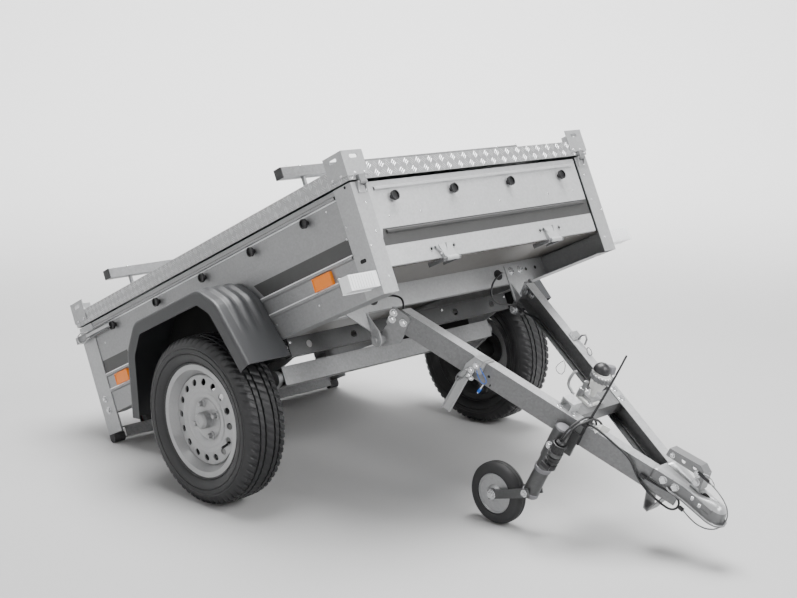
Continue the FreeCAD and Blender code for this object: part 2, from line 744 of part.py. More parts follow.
def make_wheels():
    for name, side in SIDES.items():
        middle = side * d.track_half
        tyre = Piece(f"tyre_{name}", BOX)
        shoulder = d.tyre_width / 2
        seat = d.rim_width / 2
        section = [
            (middle - seat, d.rim_seat),
            (middle - seat, d.rim_flange + 1),
            (middle - seat - 12, d.rim_flange + 12),
            (middle - shoulder, d.tyre_radius - 52),
            (middle - shoulder + 6, d.tyre_radius - 22),
            (middle - shoulder + 22, d.tyre_radius - 4),
            (middle, d.tyre_radius),
            (middle + shoulder - 22, d.tyre_radius - 4),
            (middle + shoulder - 6, d.tyre_radius - 22),
            (middle + shoulder, d.tyre_radius - 52),
            (middle + seat + 12, d.rim_flange + 12),
            (middle + seat, d.rim_flange + 1),
            (middle + seat, d.rim_seat),
        ]
        tyre.revolve("YZ", 0, section)
        rim = Piece(f"rim_{name}", BOX)
        seat_face = side * (d.track_half + d.disc_offset)
        out = Size.of(side)
        gauge = d.rim_gauge
        profile = [
            (middle - out * (seat + gauge), d.rim_flange),
            (middle - out * seat, d.rim_flange),
            (middle - out * seat, d.rim_seat),
            (middle - out * seat / 3, d.rim_seat - 18),
            (middle + out * seat / 3, d.rim_seat - 18),
            (middle + out * seat, d.rim_seat),
            (middle + out * seat, d.rim_flange),
            (middle + out * (seat + gauge), d.rim_flange),
            (middle + out * (seat + gauge), d.rim_seat - gauge),
            (middle + out * (seat / 3 + 12), d.rim_seat - 18 - gauge),
            (seat_face + out * 10, d.vent_circle + 20),
            (seat_face + out * 16, d.vent_circle - 18),
            (seat_face + out * gauge, d.hub_flange + 4),
            (seat_face + out * gauge, d.cap_radius + 1),
            (seat_face, d.cap_radius + 1),
            (seat_face, d.hub_flange + 4),
            (seat_face + out * (16 - gauge), d.vent_circle - 18),
            (seat_face + out * (10 - gauge), d.vent_circle + 20),
            (middle - out * seat / 3, d.rim_seat - 18 - gauge),
            (middle - out * (seat + gauge), d.rim_seat - gauge),
        ]
        rim.revolve("YZ", 0, profile)
        low, high = across(side, d.track_half, d.track_half + d.disc_offset + 40)
        vent = rim.pocket("XZ", low, high, (0, d.vent_circle, d.vent_radius))
        rim.ring_of(vent, d.vent_count, "Y_Axis")
        hub = Piece(f"hub_{name}", BOX)
        bore = d.stub_radius + d.running_fit
        inner_face = seat_face - out * d.hub_length
        profile = [
            (seat_face, d.cap_radius),
            (seat_face, d.hub_flange),
            (seat_face - out * d.hub_flange_gauge, d.hub_flange),
            (seat_face - out * d.hub_flange_gauge, d.hub_radius),
            (inner_face, d.hub_radius),
            (inner_face, bore),
            (seat_face + out * 2, bore),
            (seat_face + out * 2, 0),
            (seat_face + out * d.cap_length, 0),
            (seat_face + out * d.cap_length, d.cap_radius - 6),
            (seat_face + out * (d.cap_length - 6), d.cap_radius),
        ]
        hub.revolve("YZ", 0, profile)


def make_mudguards():
    """Six-sided plastic arches over the wheels, with a flange on the outside."""
    for name, side in SIDES.items():
        guard = Piece(f"mudguard_{name}", BOX)
        outside = [
            (-340, 90),
            (-262, 300),
            (-182, d.guard_top),
            (190, d.guard_top),
            (262, 316),
            (332, 100),
        ]
        inside = [
            (326, 100),
            (256, 313),
            (186, d.guard_top - d.guard_gauge),
            (-180, d.guard_top - d.guard_gauge),
            (-259, 298),
            (-334, 90),
        ]
        low, high = across(side, d.guard_inner, d.guard_outer)
        guard.pad("XZ", low, high, outside + inside)
        low, high = across(side, d.guard_outer - d.guard_gauge, d.guard_outer)
        lip = [
            (300, 92),
            (224, 290),
            (158, d.guard_top - d.guard_lip),
            (-150, d.guard_top - d.guard_lip),
            (-224, 290),
            (-306, 90),
        ]
        guard.pad("XZ", low, high, outside + lip)


def hinge_knuckle(piece, axis, at, half):
    """A knuckle round a hinge axis along Y, bored for its pin."""
    piece.pad("XZ", at - half, at + half, (*axis, d.knuckle_radius))
    piece.pocket("XZ", at - half, at + half, (*axis, d.knuckle_bore + d.running_fit))


def make_boards():
    """Front board and tailgate: folded trays with beads, hinged at the bottom."""
    for name, end in (("front_board", 1), ("tailgate", -1)):
        board = Piece(name, BOX)
        face = d.box_ahead if end > 0 else -d.box_behind
        half = d.box_half - d.post_end - d.board_gap
        back = face - end * d.board_depth
        flat = face - end * d.bead_depth
        inner = flat - end * d.sheet
        top = d.side_top - d.board_seat
        profile = [
            (flat, top),
            (flat, d.board_bottom),
            (back, d.board_bottom),
            (back, d.board_bottom + d.sheet),
            (inner, d.board_bottom + d.sheet),
            (inner, top - d.sheet),
            (back, top - d.sheet),
            (back, top),
        ]
        board.pad("XZ", -half, half, profile)
        bead_end = half - d.board_depth
        heights = (d.bead_upper - 5, d.bead_middle + 44)
        board.pad("XZ", -bead_end, bead_end, *bead_outlines(flat, end, heights, 0))
        board.pocket("XZ", -bead_end, bead_end, *bead_outlines(flat, end, heights, d.sheet))
        axis = (face + end * d.board_hinge_out, d.board_hinge_up)
        for side in SIDES.values():
            at = side * d.board_hinge_at
            leaf = [
                (axis[0], d.board_hinge_up + d.knuckle_radius),
                (axis[0], d.board_hinge_up - d.knuckle_radius / 4),
                (flat, d.board_bottom - d.sheet / 2),
                (flat, d.board_bottom + 40),
                (flat + end * d.sheet, d.board_bottom + 40),
            ]
            half_leaf = d.knuckle_length / 2
            board.pad("XZ", at - half_leaf, at + half_leaf, leaf)
            hinge_knuckle(board, axis, at, half_leaf)


def make_board_hinges():
    """Fixed halves of the board hinges: a pin between two ears under the floor's edge."""
    ears = Piece("board_hinges", BOX)
    for end in ENDS.values():
        face = d.box_ahead if end > 0 else -d.box_behind
        axis = face + end * d.board_hinge_out
        half = d.knuckle_length / 2 + d.knuckle_gap
        reach = half + 12
        floor_edge = face - end * (d.board_depth + d.board_gap)
        inside = floor_edge - end * 30
        strap_top = d.floor_under - 5
        for side in SIDES.values():
            at = side * d.board_hinge_at
            ears.pad("XZ", at - reach, at + reach, (axis, d.board_hinge_up, d.knuckle_bore))
            for low in (at - reach, at + half):
                strap = [
                    (axis, d.board_hinge_up - d.knuckle_radius),
                    (axis, d.board_hinge_up + d.knuckle_bore),
                    (face - end * 2, strap_top),
                    (inside, strap_top),
                    (inside, d.board_hinge_up - d.knuckle_radius),
                ]
                ears.pad("XZ", low, low + 12, strap)
            plate = [
                (inside, strap_top),
                (floor_edge, strap_top),
                (floor_edge, d.floor_under),
                (inside, d.floor_under),
            ]
            ears.pad("XZ", at - reach, at + reach, plate)


def make_lid():
    """A tray of tread plate turned down over the box, rounded at its top edges."""
    lid = Piece("lid", BOX)
    front = d.box_ahead + d.lid_overhang
    rear = -(d.box_behind + d.lid_overhang)
    half = d.box_half + d.lid_overhang
    lid.pad("XY", d.lid_rim_bottom, d.lid_top, rectangle(rear, front, -half, half))
    lid.round_edges(d.lid_round, lambda edge: edge.BoundBox.ZMin > d.lid_top.value - 1)
    wall = d.lid_gauge
    lid.pocket(
        "XY",
        d.lid_rim_bottom,
        d.lid_top - wall,
        rectangle(rear + wall, front - wall, -(half - wall), half - wall),
    )
    knuckles = Piece("lid_knuckles", BOX)
    axis = d.box_ahead + d.lid_hinge_out
    for side in SIDES.values():
        at = side * d.lid_hinge_at
        half_leaf = d.knuckle_length / 4
        leaf = [
            (axis + d.knuckle_radius, d.lid_hinge_up),
            (axis + d.knuckle_radius, d.lid_rim_bottom + 12),
            (front, d.lid_rim_bottom + 12),
            (front, d.lid_rim_bottom),
            (axis, d.lid_rim_bottom),
            (axis, d.lid_hinge_up),
        ]
        knuckles.pad("XZ", at - half_leaf, at + half_leaf, leaf)
        hinge_knuckle(knuckles, (axis, d.lid_hinge_up), at, half_leaf)


def make_lid_hinges():
    """Fixed halves of the lid's hinges on the front posts."""
    axis = d.box_ahead + d.lid_hinge_out
    ears = Piece("lid_hinges", BOX)
    for side in SIDES.values():
        at = side * d.lid_hinge_at
        half = d.knuckle_length / 4 + d.knuckle_gap
        reach = half + 5
        ears.pad("XZ", at - reach, at + reach, (axis, d.lid_hinge_up, d.knuckle_bore))
        for low in (at - reach, at + half):
            strap = [
                (axis, d.lid_hinge_up - d.knuckle_radius),
                (axis + d.knuckle_bore, d.lid_hinge_up + d.knuckle_bore),
                (d.box_ahead, d.lid_hinge_up + d.knuckle_bore),
                (d.box_ahead, d.lid_hinge_up - 30),
                (d.box_ahead + d.sheet, d.lid_hinge_up - 30),
            ]
            ears.pad("XZ", low, low + 5, strap)
        low_edge = d.lid_hinge_up - 30
        leaf = rectangle(d.box_ahead, d.box_ahead + d.sheet, low_edge, d.lid_hinge_up - 10)
        ears.pad("XZ", at - reach, at + reach, leaf)


def make_lid_lugs():
    """Upright angle lugs at the lid's corners, each leaf with an oval hole."""
    lugs = Piece("lid_lugs", BOX)
    wall = d.lug_gauge
    hole_up = d.lug_top - d.lug_hole_drop
    for end in ENDS.values():
        edge = d.box_ahead if end > 0 else -d.box_behind
        edge = edge + end * d.lid_overhang
        for side in SIDES.values():
            face = side * (d.box_half + d.lid_overhang)
            profile = [
                (edge - end * d.lug_leaf, face),
                (edge - end * d.lug_leaf, face + side * wall),
                (edge + end * wall, face + side * wall),
                (edge + end * wall, face - side * d.lug_leaf),
                (edge, face - side * d.lug_leaf),
                (edge, face),
            ]
            lugs.pad("XY", d.lug_bottom, d.lug_top, profile)
            spot = (edge - end * d.lug_leaf / 2, hole_up, d.lug_hole_half, d.lug_hole_radius)
            lugs.pocket("XZ", *sorted_pair(face, face + side * wall), spot)
            spot = (face - side * d.lug_leaf / 2, hole_up, d.lug_hole_half, d.lug_hole_radius)
            lugs.pocket("YZ", *sorted_pair(edge, edge + end * wall), spot)


def make_crossbars():
    """Square tubes across the lid, each on two round posts."""
    bars = Piece("crossbars", BOX)
    half = d.bar_size / 2
    wall = half - d.lid_gauge
    for end in ENDS.values():
        at = end * d.bar_at
        bars.pad(
            "XZ",
            -d.bar_half,
            d.bar_half,
            rectangle(at - half, at + half, d.bar_middle - half, d.bar_middle + half),
            rectangle(at - wall, at + wall, d.bar_middle - wall, d.bar_middle + wall),
        )
        for side in SIDES.values():
            post = (at, side * d.bar_post_at, d.bar_post_radius)
            bars.pad("XY", d.lid_top, d.bar_middle - wall, post)


def make_lamps():
    front = Piece("position_lamps", BOX)
    rear = Piece("rear_lamps", BOX)
    for side in SIDES.values():
        low, high = across(side, d.box_half, d.lamp_reach)
        face = d.box_ahead - 4
        outline = rectangle(
            face - d.lamp_depth,
            face,
            d.lamp_middle - d.lamp_height / 2,
            d.lamp_middle + d.lamp_height / 2,
        )
        front.pad("XZ", low, high, outline)
        low, high = across(side, 300, 400)
        back = -d.box_behind + d.post_gauge
        base = d.side_bottom - d.rear_beam_drop + d.rear_beam_height
        rear.pad("XZ", low, high, rectangle(back, back + 30, base, base + 70))


def make_latches():
    """Toggle latches on the sides that hold the tailgate shut."""
    latches = Piece("tail_latches", BOX)
    for side in SIDES.values():
        low, high = across(side, d.box_half, d.box_half + 14)
        outline = rectangle(-d.box_behind - 20, -d.box_behind + 200, 438, 462)
        latches.pad("XZ", low, high, outline)


def make_hinge_plates():
    """Tapered plates bolted to the front cross-member, with tongues for the drawbar's pins."""
    plates = Piece("hinge_plates", BOX)
    gauge = d.hinge_plate_gauge
    tongue = d.hinge_plate_at
    face = d.front_beam_face
    low_edge = d.side_bottom + d.sheet
    for side in SIDES.values():
        inner = side * d.hinge_plate_inner
        outer = side * (d.hinge_plate_inner + d.hinge_plate_width)
        outline = [
            (inner, d.floor_under - 10),
            (outer, d.floor_under - 10),
            (outer - side * 5, low_edge + 6),
            (side * (tongue + gauge), d.hinge_above + 30),
            (inner, d.hinge_above + 30),
        ]
        plates.pad("YZ", face, face + gauge, outline)
        low, high = across(side, tongue, tongue + gauge)
        eye = d.hinge_bush + 4
        front = d.hinge_ahead + eye
        outline = [
            (face, d.hinge_above),
            (face, low_edge),
            (face + gauge, low_edge),
            (front, d.hinge_above + eye),
            (front, d.hinge_above),
        ]
        plates.pad("XZ", low, high, outline)
        plates.pad("XZ", low, high, (d.hinge_ahead, d.hinge_above, eye))
        low, high = across(side, tongue - 36, tongue + gauge + 8)
        plates.pad("XZ", low, high, (d.hinge_ahead, d.hinge_above, d.hinge_pin))


def beam_line(side, along, inset):
    """A point on a line parallel to a beam's outside, inset towards the beam's open side."""
    depth = d.beam_spread - along * tangent(d.beam_angle) - inset / cosine(d.beam_angle)
    return (along, side * depth)


def beam_strip(side, rear, front, outer, inner):
    """A strip along a beam, seen from above."""
    return [
        beam_line(side, rear, outer),
        beam_line(side, front, outer),
        beam_line(side, front, inner),
        beam_line(side, rear, inner),
    ]


def make_beams():
    """Channel beams that open inwards and meet at the coupling."""
    beam = Piece("drawbar_beams", DRAWBAR)
    for side in SIDES.values():
        none = Size.of(0)
        web = beam_strip(side, d.beam_rear, d.beam_front, none, d.beam_gauge)
        bottom = d.beam_top - d.beam_height
        beam.pad("XY", bottom, d.beam_top, web)
        tip = d.beam_front - 45
        flange = beam_strip(side, d.beam_rear, tip, none, d.beam_flange)
        beam.pad("XY", d.beam_top - d.beam_gauge, d.beam_top, flange)
        beam.pad("XY", bottom, bottom + d.beam_gauge, flange)


def make_drawbar_brackets():
    """Notched plates bolted outside the beams' rear ends, with the hinge bushes."""
    brackets = Piece("drawbar_brackets", DRAWBAR)
    none = Size.of(0)
    outer = -d.hinge_plate_gauge
    top = d.beam_top - 5
    for side in SIDES.values():
        strip = beam_strip(side, Size.of(-26), Size.of(62), none, outer)
        brackets.pad("XY", -d.hinge_bush, top, strip)
        reach = d.beam_spread + 20
        low, high = across(side, d.beam_spread - 60, reach)
        rear_cut = [(-40, 20), (-10, 12), (0, 56), (-6, 61), (-6, top + 10), (-40, top + 10)]
        front_cut = [(70, top + 10), (46, top + 10), (60, top - 14), (58, 24), (16, -19), (70, -19)]
        brackets.pocket("XZ", low, high, rear_cut, front_cut)
        face = d.hinge_plate_at - 0.5
        low, high = across(side, face - 34, face)
        brackets.pad("XZ", low, high, (0, 0, d.hinge_bush))
        brackets.pocket("XZ", low - 5, high + 5, (0, 0, d.hinge_pin + d.running_fit))


def make_tie():
    """The drawbar's cross-member: a channel between the beams, with a stub of box tube on it."""
    tie = Piece("drawbar_tie", DRAWBAR)
    rear = d.tie_front - d.tie_depth
    top = d.beam_top - d.beam_gauge
    gauge = d.beam_gauge
    low = top - d.tie_height
    for back, front, bottom in (
        (rear, d.tie_front, top - gauge),
        (d.tie_front - gauge, d.tie_front, low),
        (rear, rear + gauge, low),
    ):
        outline = [
            beam_line(-1, back, gauge + 0.2),
            beam_line(-1, front, gauge + 0.2),
            beam_line(1, front, gauge + 0.2),
            beam_line(1, back, gauge + 0.2),
        ]
        tie.pad("XY", bottom, top, outline)
    seat = d.beam_top
    stub = rectangle(rear + 4, rear + 46, seat, seat + 32)
    bore = rectangle(rear + 7, rear + 43, seat + 3, seat + 29)
    tie.pad("XZ", -133, -91, stub, bore)


def make_coupling():
    """Pressed coupling: a skirt outside the beams' tips, narrowing to the dome over the ball."""
    coupling = Piece("coupling", DRAWBAR)
    gauge = d.coupling_gauge
    top = d.beam_top + gauge
    low = d.beam_top - d.coupling_skirt
    ball = (d.ball_at, 0, d.beam_top - d.ball_drop)
    shell = d.ball_radius + d.socket_wall
    none = Size.of(0)

    def plan(grow):
        """Half the coupling's outline from above, from the rear to the dome."""
        return [
            beam_line(1, d.coupling_rear, -grow),
            beam_line(1, d.beam_front, -grow),
            (d.beam_front + 22, d.coupling_neck - gauge + grow),
            (d.ball_at, d.coupling_neck - gauge + grow),
        ]

    def whole(half):
        return half + [(x, -y) for x, y in reversed(half)]

    coupling.pad("XY", low, top, whole(plan(gauge)))
    coupling.pocket("XY", low, d.beam_top, whole(plan(none)))
    coupling.pad("XY", low, ball[2], (d.ball_at, 0, shell))
    coupling.ball("Additive", ball, shell)
    coupling.ball("Subtractive", ball, d.ball_radius + 0.3)
    coupling.pocket("XY", ball[2] - shell - 1, low, (d.ball_at, 0, shell + 1))
    coupling.pocket("XY", low, ball[2], (d.ball_at, 0, d.ball_radius + 0.3))
    lug = [
        (d.ball_at - 96, top),
        (d.ball_at - 90, d.beam_top + 38),
        (d.ball_at - 77, d.beam_top + 38),
        (d.ball_at - 62, top),
    ]
    half = d.handle_half - d.handle_gauge
    coupling.pad("XZ", -half, half, lug)
    handle = Piece("coupling_handle", DRAWBAR)
    side_plate = [
        (d.ball_at - 200, d.beam_top + 36),
        (d.ball_at - 200, d.beam_top + 62),
        (d.ball_at - 96, d.beam_top + 84),
        (d.ball_at - 72, d.beam_top + 72),
        (d.ball_at - 62, d.beam_top + 22),
        (d.ball_at - 84, d.beam_top + 22),
        (d.ball_at - 96, d.beam_top + 52),
    ]
    handle.pad("XZ", -d.handle_half, d.handle_half, side_plate)
    inside = [(x, z - d.handle_gauge) for x, z in side_plate[1:4]]
    inside = [
        (d.ball_at - 201, d.beam_top),
        inside[0],
        inside[1],
        (d.ball_at - 72 - d.handle_gauge, inside[2][1]),
        (d.ball_at - 60, d.beam_top),
    ]
    handle.pocket("XZ", -half, half, inside)
    for along, up, radius in ((-182, 50, 7), (-146, 58, 7), (-108, 66, 7), (-84, 34, 5)):
        spot = (d.ball_at + along, d.beam_top + up, radius)
        handle.pocket("XZ", -d.handle_half, d.handle_half, spot)


def make_jack():
    """Hydraulic bottle jack on the cross-member: base, stem, can, ring and dome."""
    jack = Piece("jack", DRAWBAR)
    top = d.beam_top - d.beam_gauge
    at = d.jack_at
    base = rectangle(at - 30, at + 26, -34, 34)
    jack.pad("XY", top, top + 8, base)
    drawn = jack.sketch("XZ", 0)
    profile = [
        (at, top + 8),
        (at + d.jack_stem, top + 8),
        (at + d.jack_stem, top + 40),
        (at + d.jack_can - 8, top + 46),
        (at + d.jack_can, top + 80),
        (at + d.jack_can + 4, top + 82),
        (at + d.jack_can + 4, top + 96),
        (at + d.jack_can - 6, top + 98),
        (at + d.jack_can - 6, top + 104),
        (at, top + 104),
    ]
    jack.outline(drawn, profile)
    turned = jack.body.newObject("PartDesign::Revolution", "jack_revolution")
    turned.Profile = drawn
    turned.ReferenceAxis = (drawn, [f"Edge{len(profile)}"])
    turned.Angle = 360
    drawn.Visibility = False
    cap = Piece("jack_cap", DRAWBAR)
    middle = (at - 8, 0, top + 104)
    cap.ball("Additive", middle, d.jack_dome)
    cap.pocket("XY", top + 104 - d.jack_dome, top + 104, (at - 8, 0, d.jack_dome + 1))


def make_jockey():
    clamp = Piece("jockey_clamp", DRAWBAR)
    low = d.clamp_top - d.clamp_height
    plate = beam_strip(-1, d.leg_at - 38, d.leg_at + 38, Size.of(-6), Size.of(0))
    clamp.pad("XY", low + 20, d.clamp_top - 8, plate)
    clamp.pad("XY", low, d.clamp_top, (d.leg_at, -d.leg_out, d.clamp_radius))
    bore = (d.leg_at, -d.leg_out, d.leg_radius + d.running_fit)
    clamp.pocket("XY", low, d.clamp_top, bore)
    plug_spot = (d.leg_at + d.plug_ahead, -(d.leg_out + d.plug_out))
    ring = ((*plug_spot, d.plug_radius + 3), (*plug_spot, d.plug_radius))
    clamp.pad("XY", 36, 48, *ring)
    leg = Piece("jockey_leg", DRAWBAR)
    spot = (d.leg_at, -d.leg_out)
    leg.pad("XY", d.leg_bottom, d.leg_top, (*spot, d.leg_radius), (*spot, d.leg_radius - 3))
    leg.pad("XY", d.leg_top, d.leg_top + 6, (*spot, d.leg_radius))
    pin_half = d.leg_radius + 1
    pin = (d.leg_at, d.fork_pivot, 6 + d.running_fit)
    leg.pocket("XZ", -d.leg_out - pin_half, -d.leg_out + pin_half, pin)
    fork = Piece("jockey_fork", FORK)
    span = d.fork_half + d.fork_gauge
    for side in (-1, 1):
        low, high = across(side, d.fork_half, span)
        outline = [
            (-d.fork_length - 14, -14),
            (16, -14),
            (16, 14),
            (-d.fork_length - 14, 14),
        ]
        fork.pad("XZ", low - d.leg_out, high - d.leg_out, outline)
    fork.pad("XZ", -d.leg_out - span, -d.leg_out + span, (0, 0, 6))
    fork.pad("XZ", -d.leg_out - span, -d.leg_out + span, (-d.fork_length, 0, d.jockey_axle))
    wheel = Piece("jockey_rim", FORK)
    bore = d.jockey_axle + d.running_fit
    width = d.jockey_width / 2
    low, high = -d.leg_out - width + 4, -d.leg_out + width - 4
    wheel.pad("XZ", low, high, (-d.fork_length, 0, d.jockey_rim), (-d.fork_length, 0, bore))
    tyre = Piece("jockey_tyre", FORK)
    ring = ((-d.fork_length, 0, d.jockey_radius), (-d.fork_length, 0, d.jockey_rim))
    tyre.pad("XZ", -d.leg_out - width, -d.leg_out + width, *ring)


def make_plug():
    """Round plug parked in a ring beside the jockey leg."""
    plug = Piece("plug", DRAWBAR)
    at = d.leg_at + d.plug_ahead
    out = -(d.leg_out + d.plug_out)
    plug.pad("XY", d.plug_low, d.plug_high - 12, (at, out, d.plug_radius))
    plug.pad("XY", d.plug_low, d.plug_low + 16, (at, out, d.plug_radius + 2))
    plug.pad("XY", d.plug_high - 12, d.plug_high, (at, out, d.plug_radius - 5))
    plug.round_edges(3, lambda edge: edge.BoundBox.ZMin > d.plug_high.value - 1)


def make_strap_foot():
    """Bent strap under the beams' tips that the drawbar can rest on."""
    strap = Piece("strap_foot", DRAWBAR)
    low = d.beam_top - d.beam_height
    gauge = d.skid_gauge
    outline = [
        (832, low),
        (855, low),
        (881, -16),
        (889, -18),
        (912, low),
        (935, low),
        (935, low - gauge),
        (915, low - gauge),
        (893, -22),
        (877, -20),
        (852, low - gauge),
        (832, low - gauge),
    ]
    strap.pad("XZ", -d.skid_half, d.skid_half, outline)


def make_tip_locks():
    """Clasps over the beams near their rear ends, with their levers hanging outside."""
    locks = Piece("tip_locks", DRAWBAR)
    for side in SIDES.values():
        rear, front = Size.of(288), Size.of(318)
        plate = beam_strip(side, rear, front, Size.of(-8), Size.of(30))
        locks.pad("XY", d.beam_top, d.beam_top + 4, plate)
        lever = beam_strip(side, rear, front, Size.of(-8), Size.of(-3))
        locks.pad("XY", d.beam_top - 42, d.beam_top + 4, lever)


def make_knobs():
    """Tie-down knobs, hollow at the front, on the sides and on the front board."""
    sides = Piece("side_knobs", BOX)
    face = d.box_half - d.post_gauge
    depth = d.knob_depth
    for side in SIDES.values():
        for along in (567, 296, 24, -256, -546):
            spot = (along, d.knob_up)
            base = across(side, face, face + depth - 8)
            cup = across(side, face + depth - 8, face + depth)
            sides.pad("XZ", *base, (*spot, d.knob_radius / 2))
            sides.pad("XZ", *cup, (*spot, d.knob_radius))
            cup = across(side, face + depth - 5, face + depth)
            sides.pocket("XZ", *cup, (*spot, d.knob_radius - 3))
    front = Piece("board_knobs", BOX)
    face = d.box_ahead - d.bead_depth
    for along in (-398, -143, 122, 381):
        spot = (along, d.knob_up - 8)
        front.pad("YZ", face, face + depth - 8, (*spot, d.knob_radius / 2))
        front.pad("YZ", face + depth - 8, face + depth, (*spot, d.knob_radius))
        front.pocket("YZ", face + depth - 5, face + depth, (*spot, d.knob_radius - 3))


def make_reflectors():
    reflectors = Piece("side_reflectors", BOX)
    for side in SIDES.values():
        low, high = across(side, d.box_half - d.post_gauge, d.box_half + d.bead_depth)
        for along in (d.box_ahead - d.reflector_front, d.reflector_rear - d.box_behind):
            plate = rectangle(
                along - d.reflector_length / 2,
                along + d.reflector_length / 2,
                d.reflector_up - d.reflector_height / 2,
                d.reflector_up + d.reflector_height / 2,
            )
            reflectors.pad("XZ", low, high, plate)


def make_grommets():
    """Rubber grommets in the front cross-member, where the leads leave the box."""
    grommets = Piece("grommets", BOX)
    face = d.front_beam_face
    for side in SIDES.values():
        spot = (side * d.grommet_at, d.grommet_up)
        grommets.pad("YZ", face - d.cross_gauge, face, (*spot, d.grommet_radius))
        grommets.pad("YZ", face, face + d.grommet_lip, (*spot, d.grommet_radius + 4))


def make_cable_clips():
    """Pieces on the drawbar that hold the cords: joint box, clips, band and ferrules."""
    clips = Piece("cable_clips", DRAWBAR)
    low = d.beam_top - d.beam_height
    shelf = low + d.beam_gauge
    joint = beam_strip(-1, d.joint_rear, d.joint_front, d.beam_gauge, d.beam_flange + 16)
    clips.pad("XY", shelf, shelf + 20, joint)
    hook = rectangle(d.left_clip, d.left_clip + 12, Size.of(244), Size.of(292))
    clips.pad("XY", low - 12, low, hook)
    saddle = beam_strip(-1, d.right_clip, d.right_clip + 12, d.beam_gauge, Size.of(30))
    clips.pad("XY", d.right_clip_up - 7, d.right_clip_up + 7, saddle)
    head = beam_strip(-1, d.band_at, d.band_at + 12, Size.of(-12), Size.of(14))
    clips.pad("XY", d.beam_top, d.beam_top + 19, head)
    ferrule = beam_strip(-1, Size.of(836), Size.of(855), Size.of(-11), Size.of(-1))
    clips.pad("XY", Size.of(83), Size.of(93), ferrule)
    clips.pad("XY", Size.of(64), Size.of(74), rectangle(*(Size.of(v) for v in (971, 986, -36, -28))))
    clips.pad("XY", Size.of(184), Size.of(192), rectangle(*(Size.of(v) for v in (962, 1004, -21, -17))))


class Cord:
    """A round cord along straight runs joined by tangent arcs."""

    def __init__(self, name, frame, radius, points):
        self.name = name
        self.radius = radius.value
        self.body = doc.addObject("Part::Feature", name)
        self.body.Label = name
        home = FreeCAD.Placement(
            FreeCAD.Vector(frame.x.value, 0, frame.z.value),
            FreeCAD.Rotation(FreeCAD.Vector(0, 1, 0), frame.pitch.value),
        )
        back = home.inverse()
        self.points = [back.multVec(point) for point in points]
        self.radii = []
        path = Part.Wire(self.edges())
        ring = Part.Circle(self.points[0], self.points[1] - self.points[0], self.radius)
        section = Part.Wire([ring.toShape()])
        self.body.Shape = path.makePipeShell([section], True, False)
        self.length = path.Length
        frame.hold(self.body)
        Piece.made.append(self)
        self.report()

    def edges(self):
        """Lines and arcs, each arc as large as its two runs allow."""
        made = []
        here = self.points[0]
        for before, corner, after in zip(self.points, self.points[1:], self.points[2:]):
            arriving = corner - before
            leaving = after - corner
            reach = 0.45 * min(arriving.Length, leaving.Length)
            arriving.normalize()
            leaving.normalize()
            half_turn = math.acos(max(-1.0, min(1.0, arriving.dot(leaving)))) / 2
            radius = reach / math.tan(half_turn)
            self.radii.append(radius)
            start = corner - arriving * reach
            end = corner + leaving * reach
            inwards = leaving - arriving
            inwards.normalize()
            middle = corner + inwards * (radius / math.cos(half_turn) - radius)
            made.append(Part.LineSegment(here, start).toShape())
            made.append(Part.Arc(start, middle, end).toShape())
            here = end
        made.append(Part.LineSegment(here, self.points[-1]).toShape())
        return made

    def report(self):
        """Print the length and the radii, and compare the volume with section times length."""
        swept = math.pi * self.radius**2 * self.length
        volume = self.body.Shape.Volume
        if abs(volume / swept - 1) > 0.01:
            raise RuntimeError(f"{self.name}: volume {volume:.0f}, section times length {swept:.0f}")
        radii = " ".join(f"{radius:.0f}" for radius in self.radii)
        runs = [(b - a).Length for a, b in zip(self.points, self.points[1:])]
        runs = " ".join(f"{run:.0f}" for run in runs)
        print(f"{self.name}: length {self.length:.0f}, runs {runs}, radii {radii}")


def beside(side, along, inset, up):
    """A point of the world beside a beam, inset from its outside."""
    x, y = beam_line(side, Size.of(along), Size.of(inset))
    return DRAWBAR.place(x, y, up)


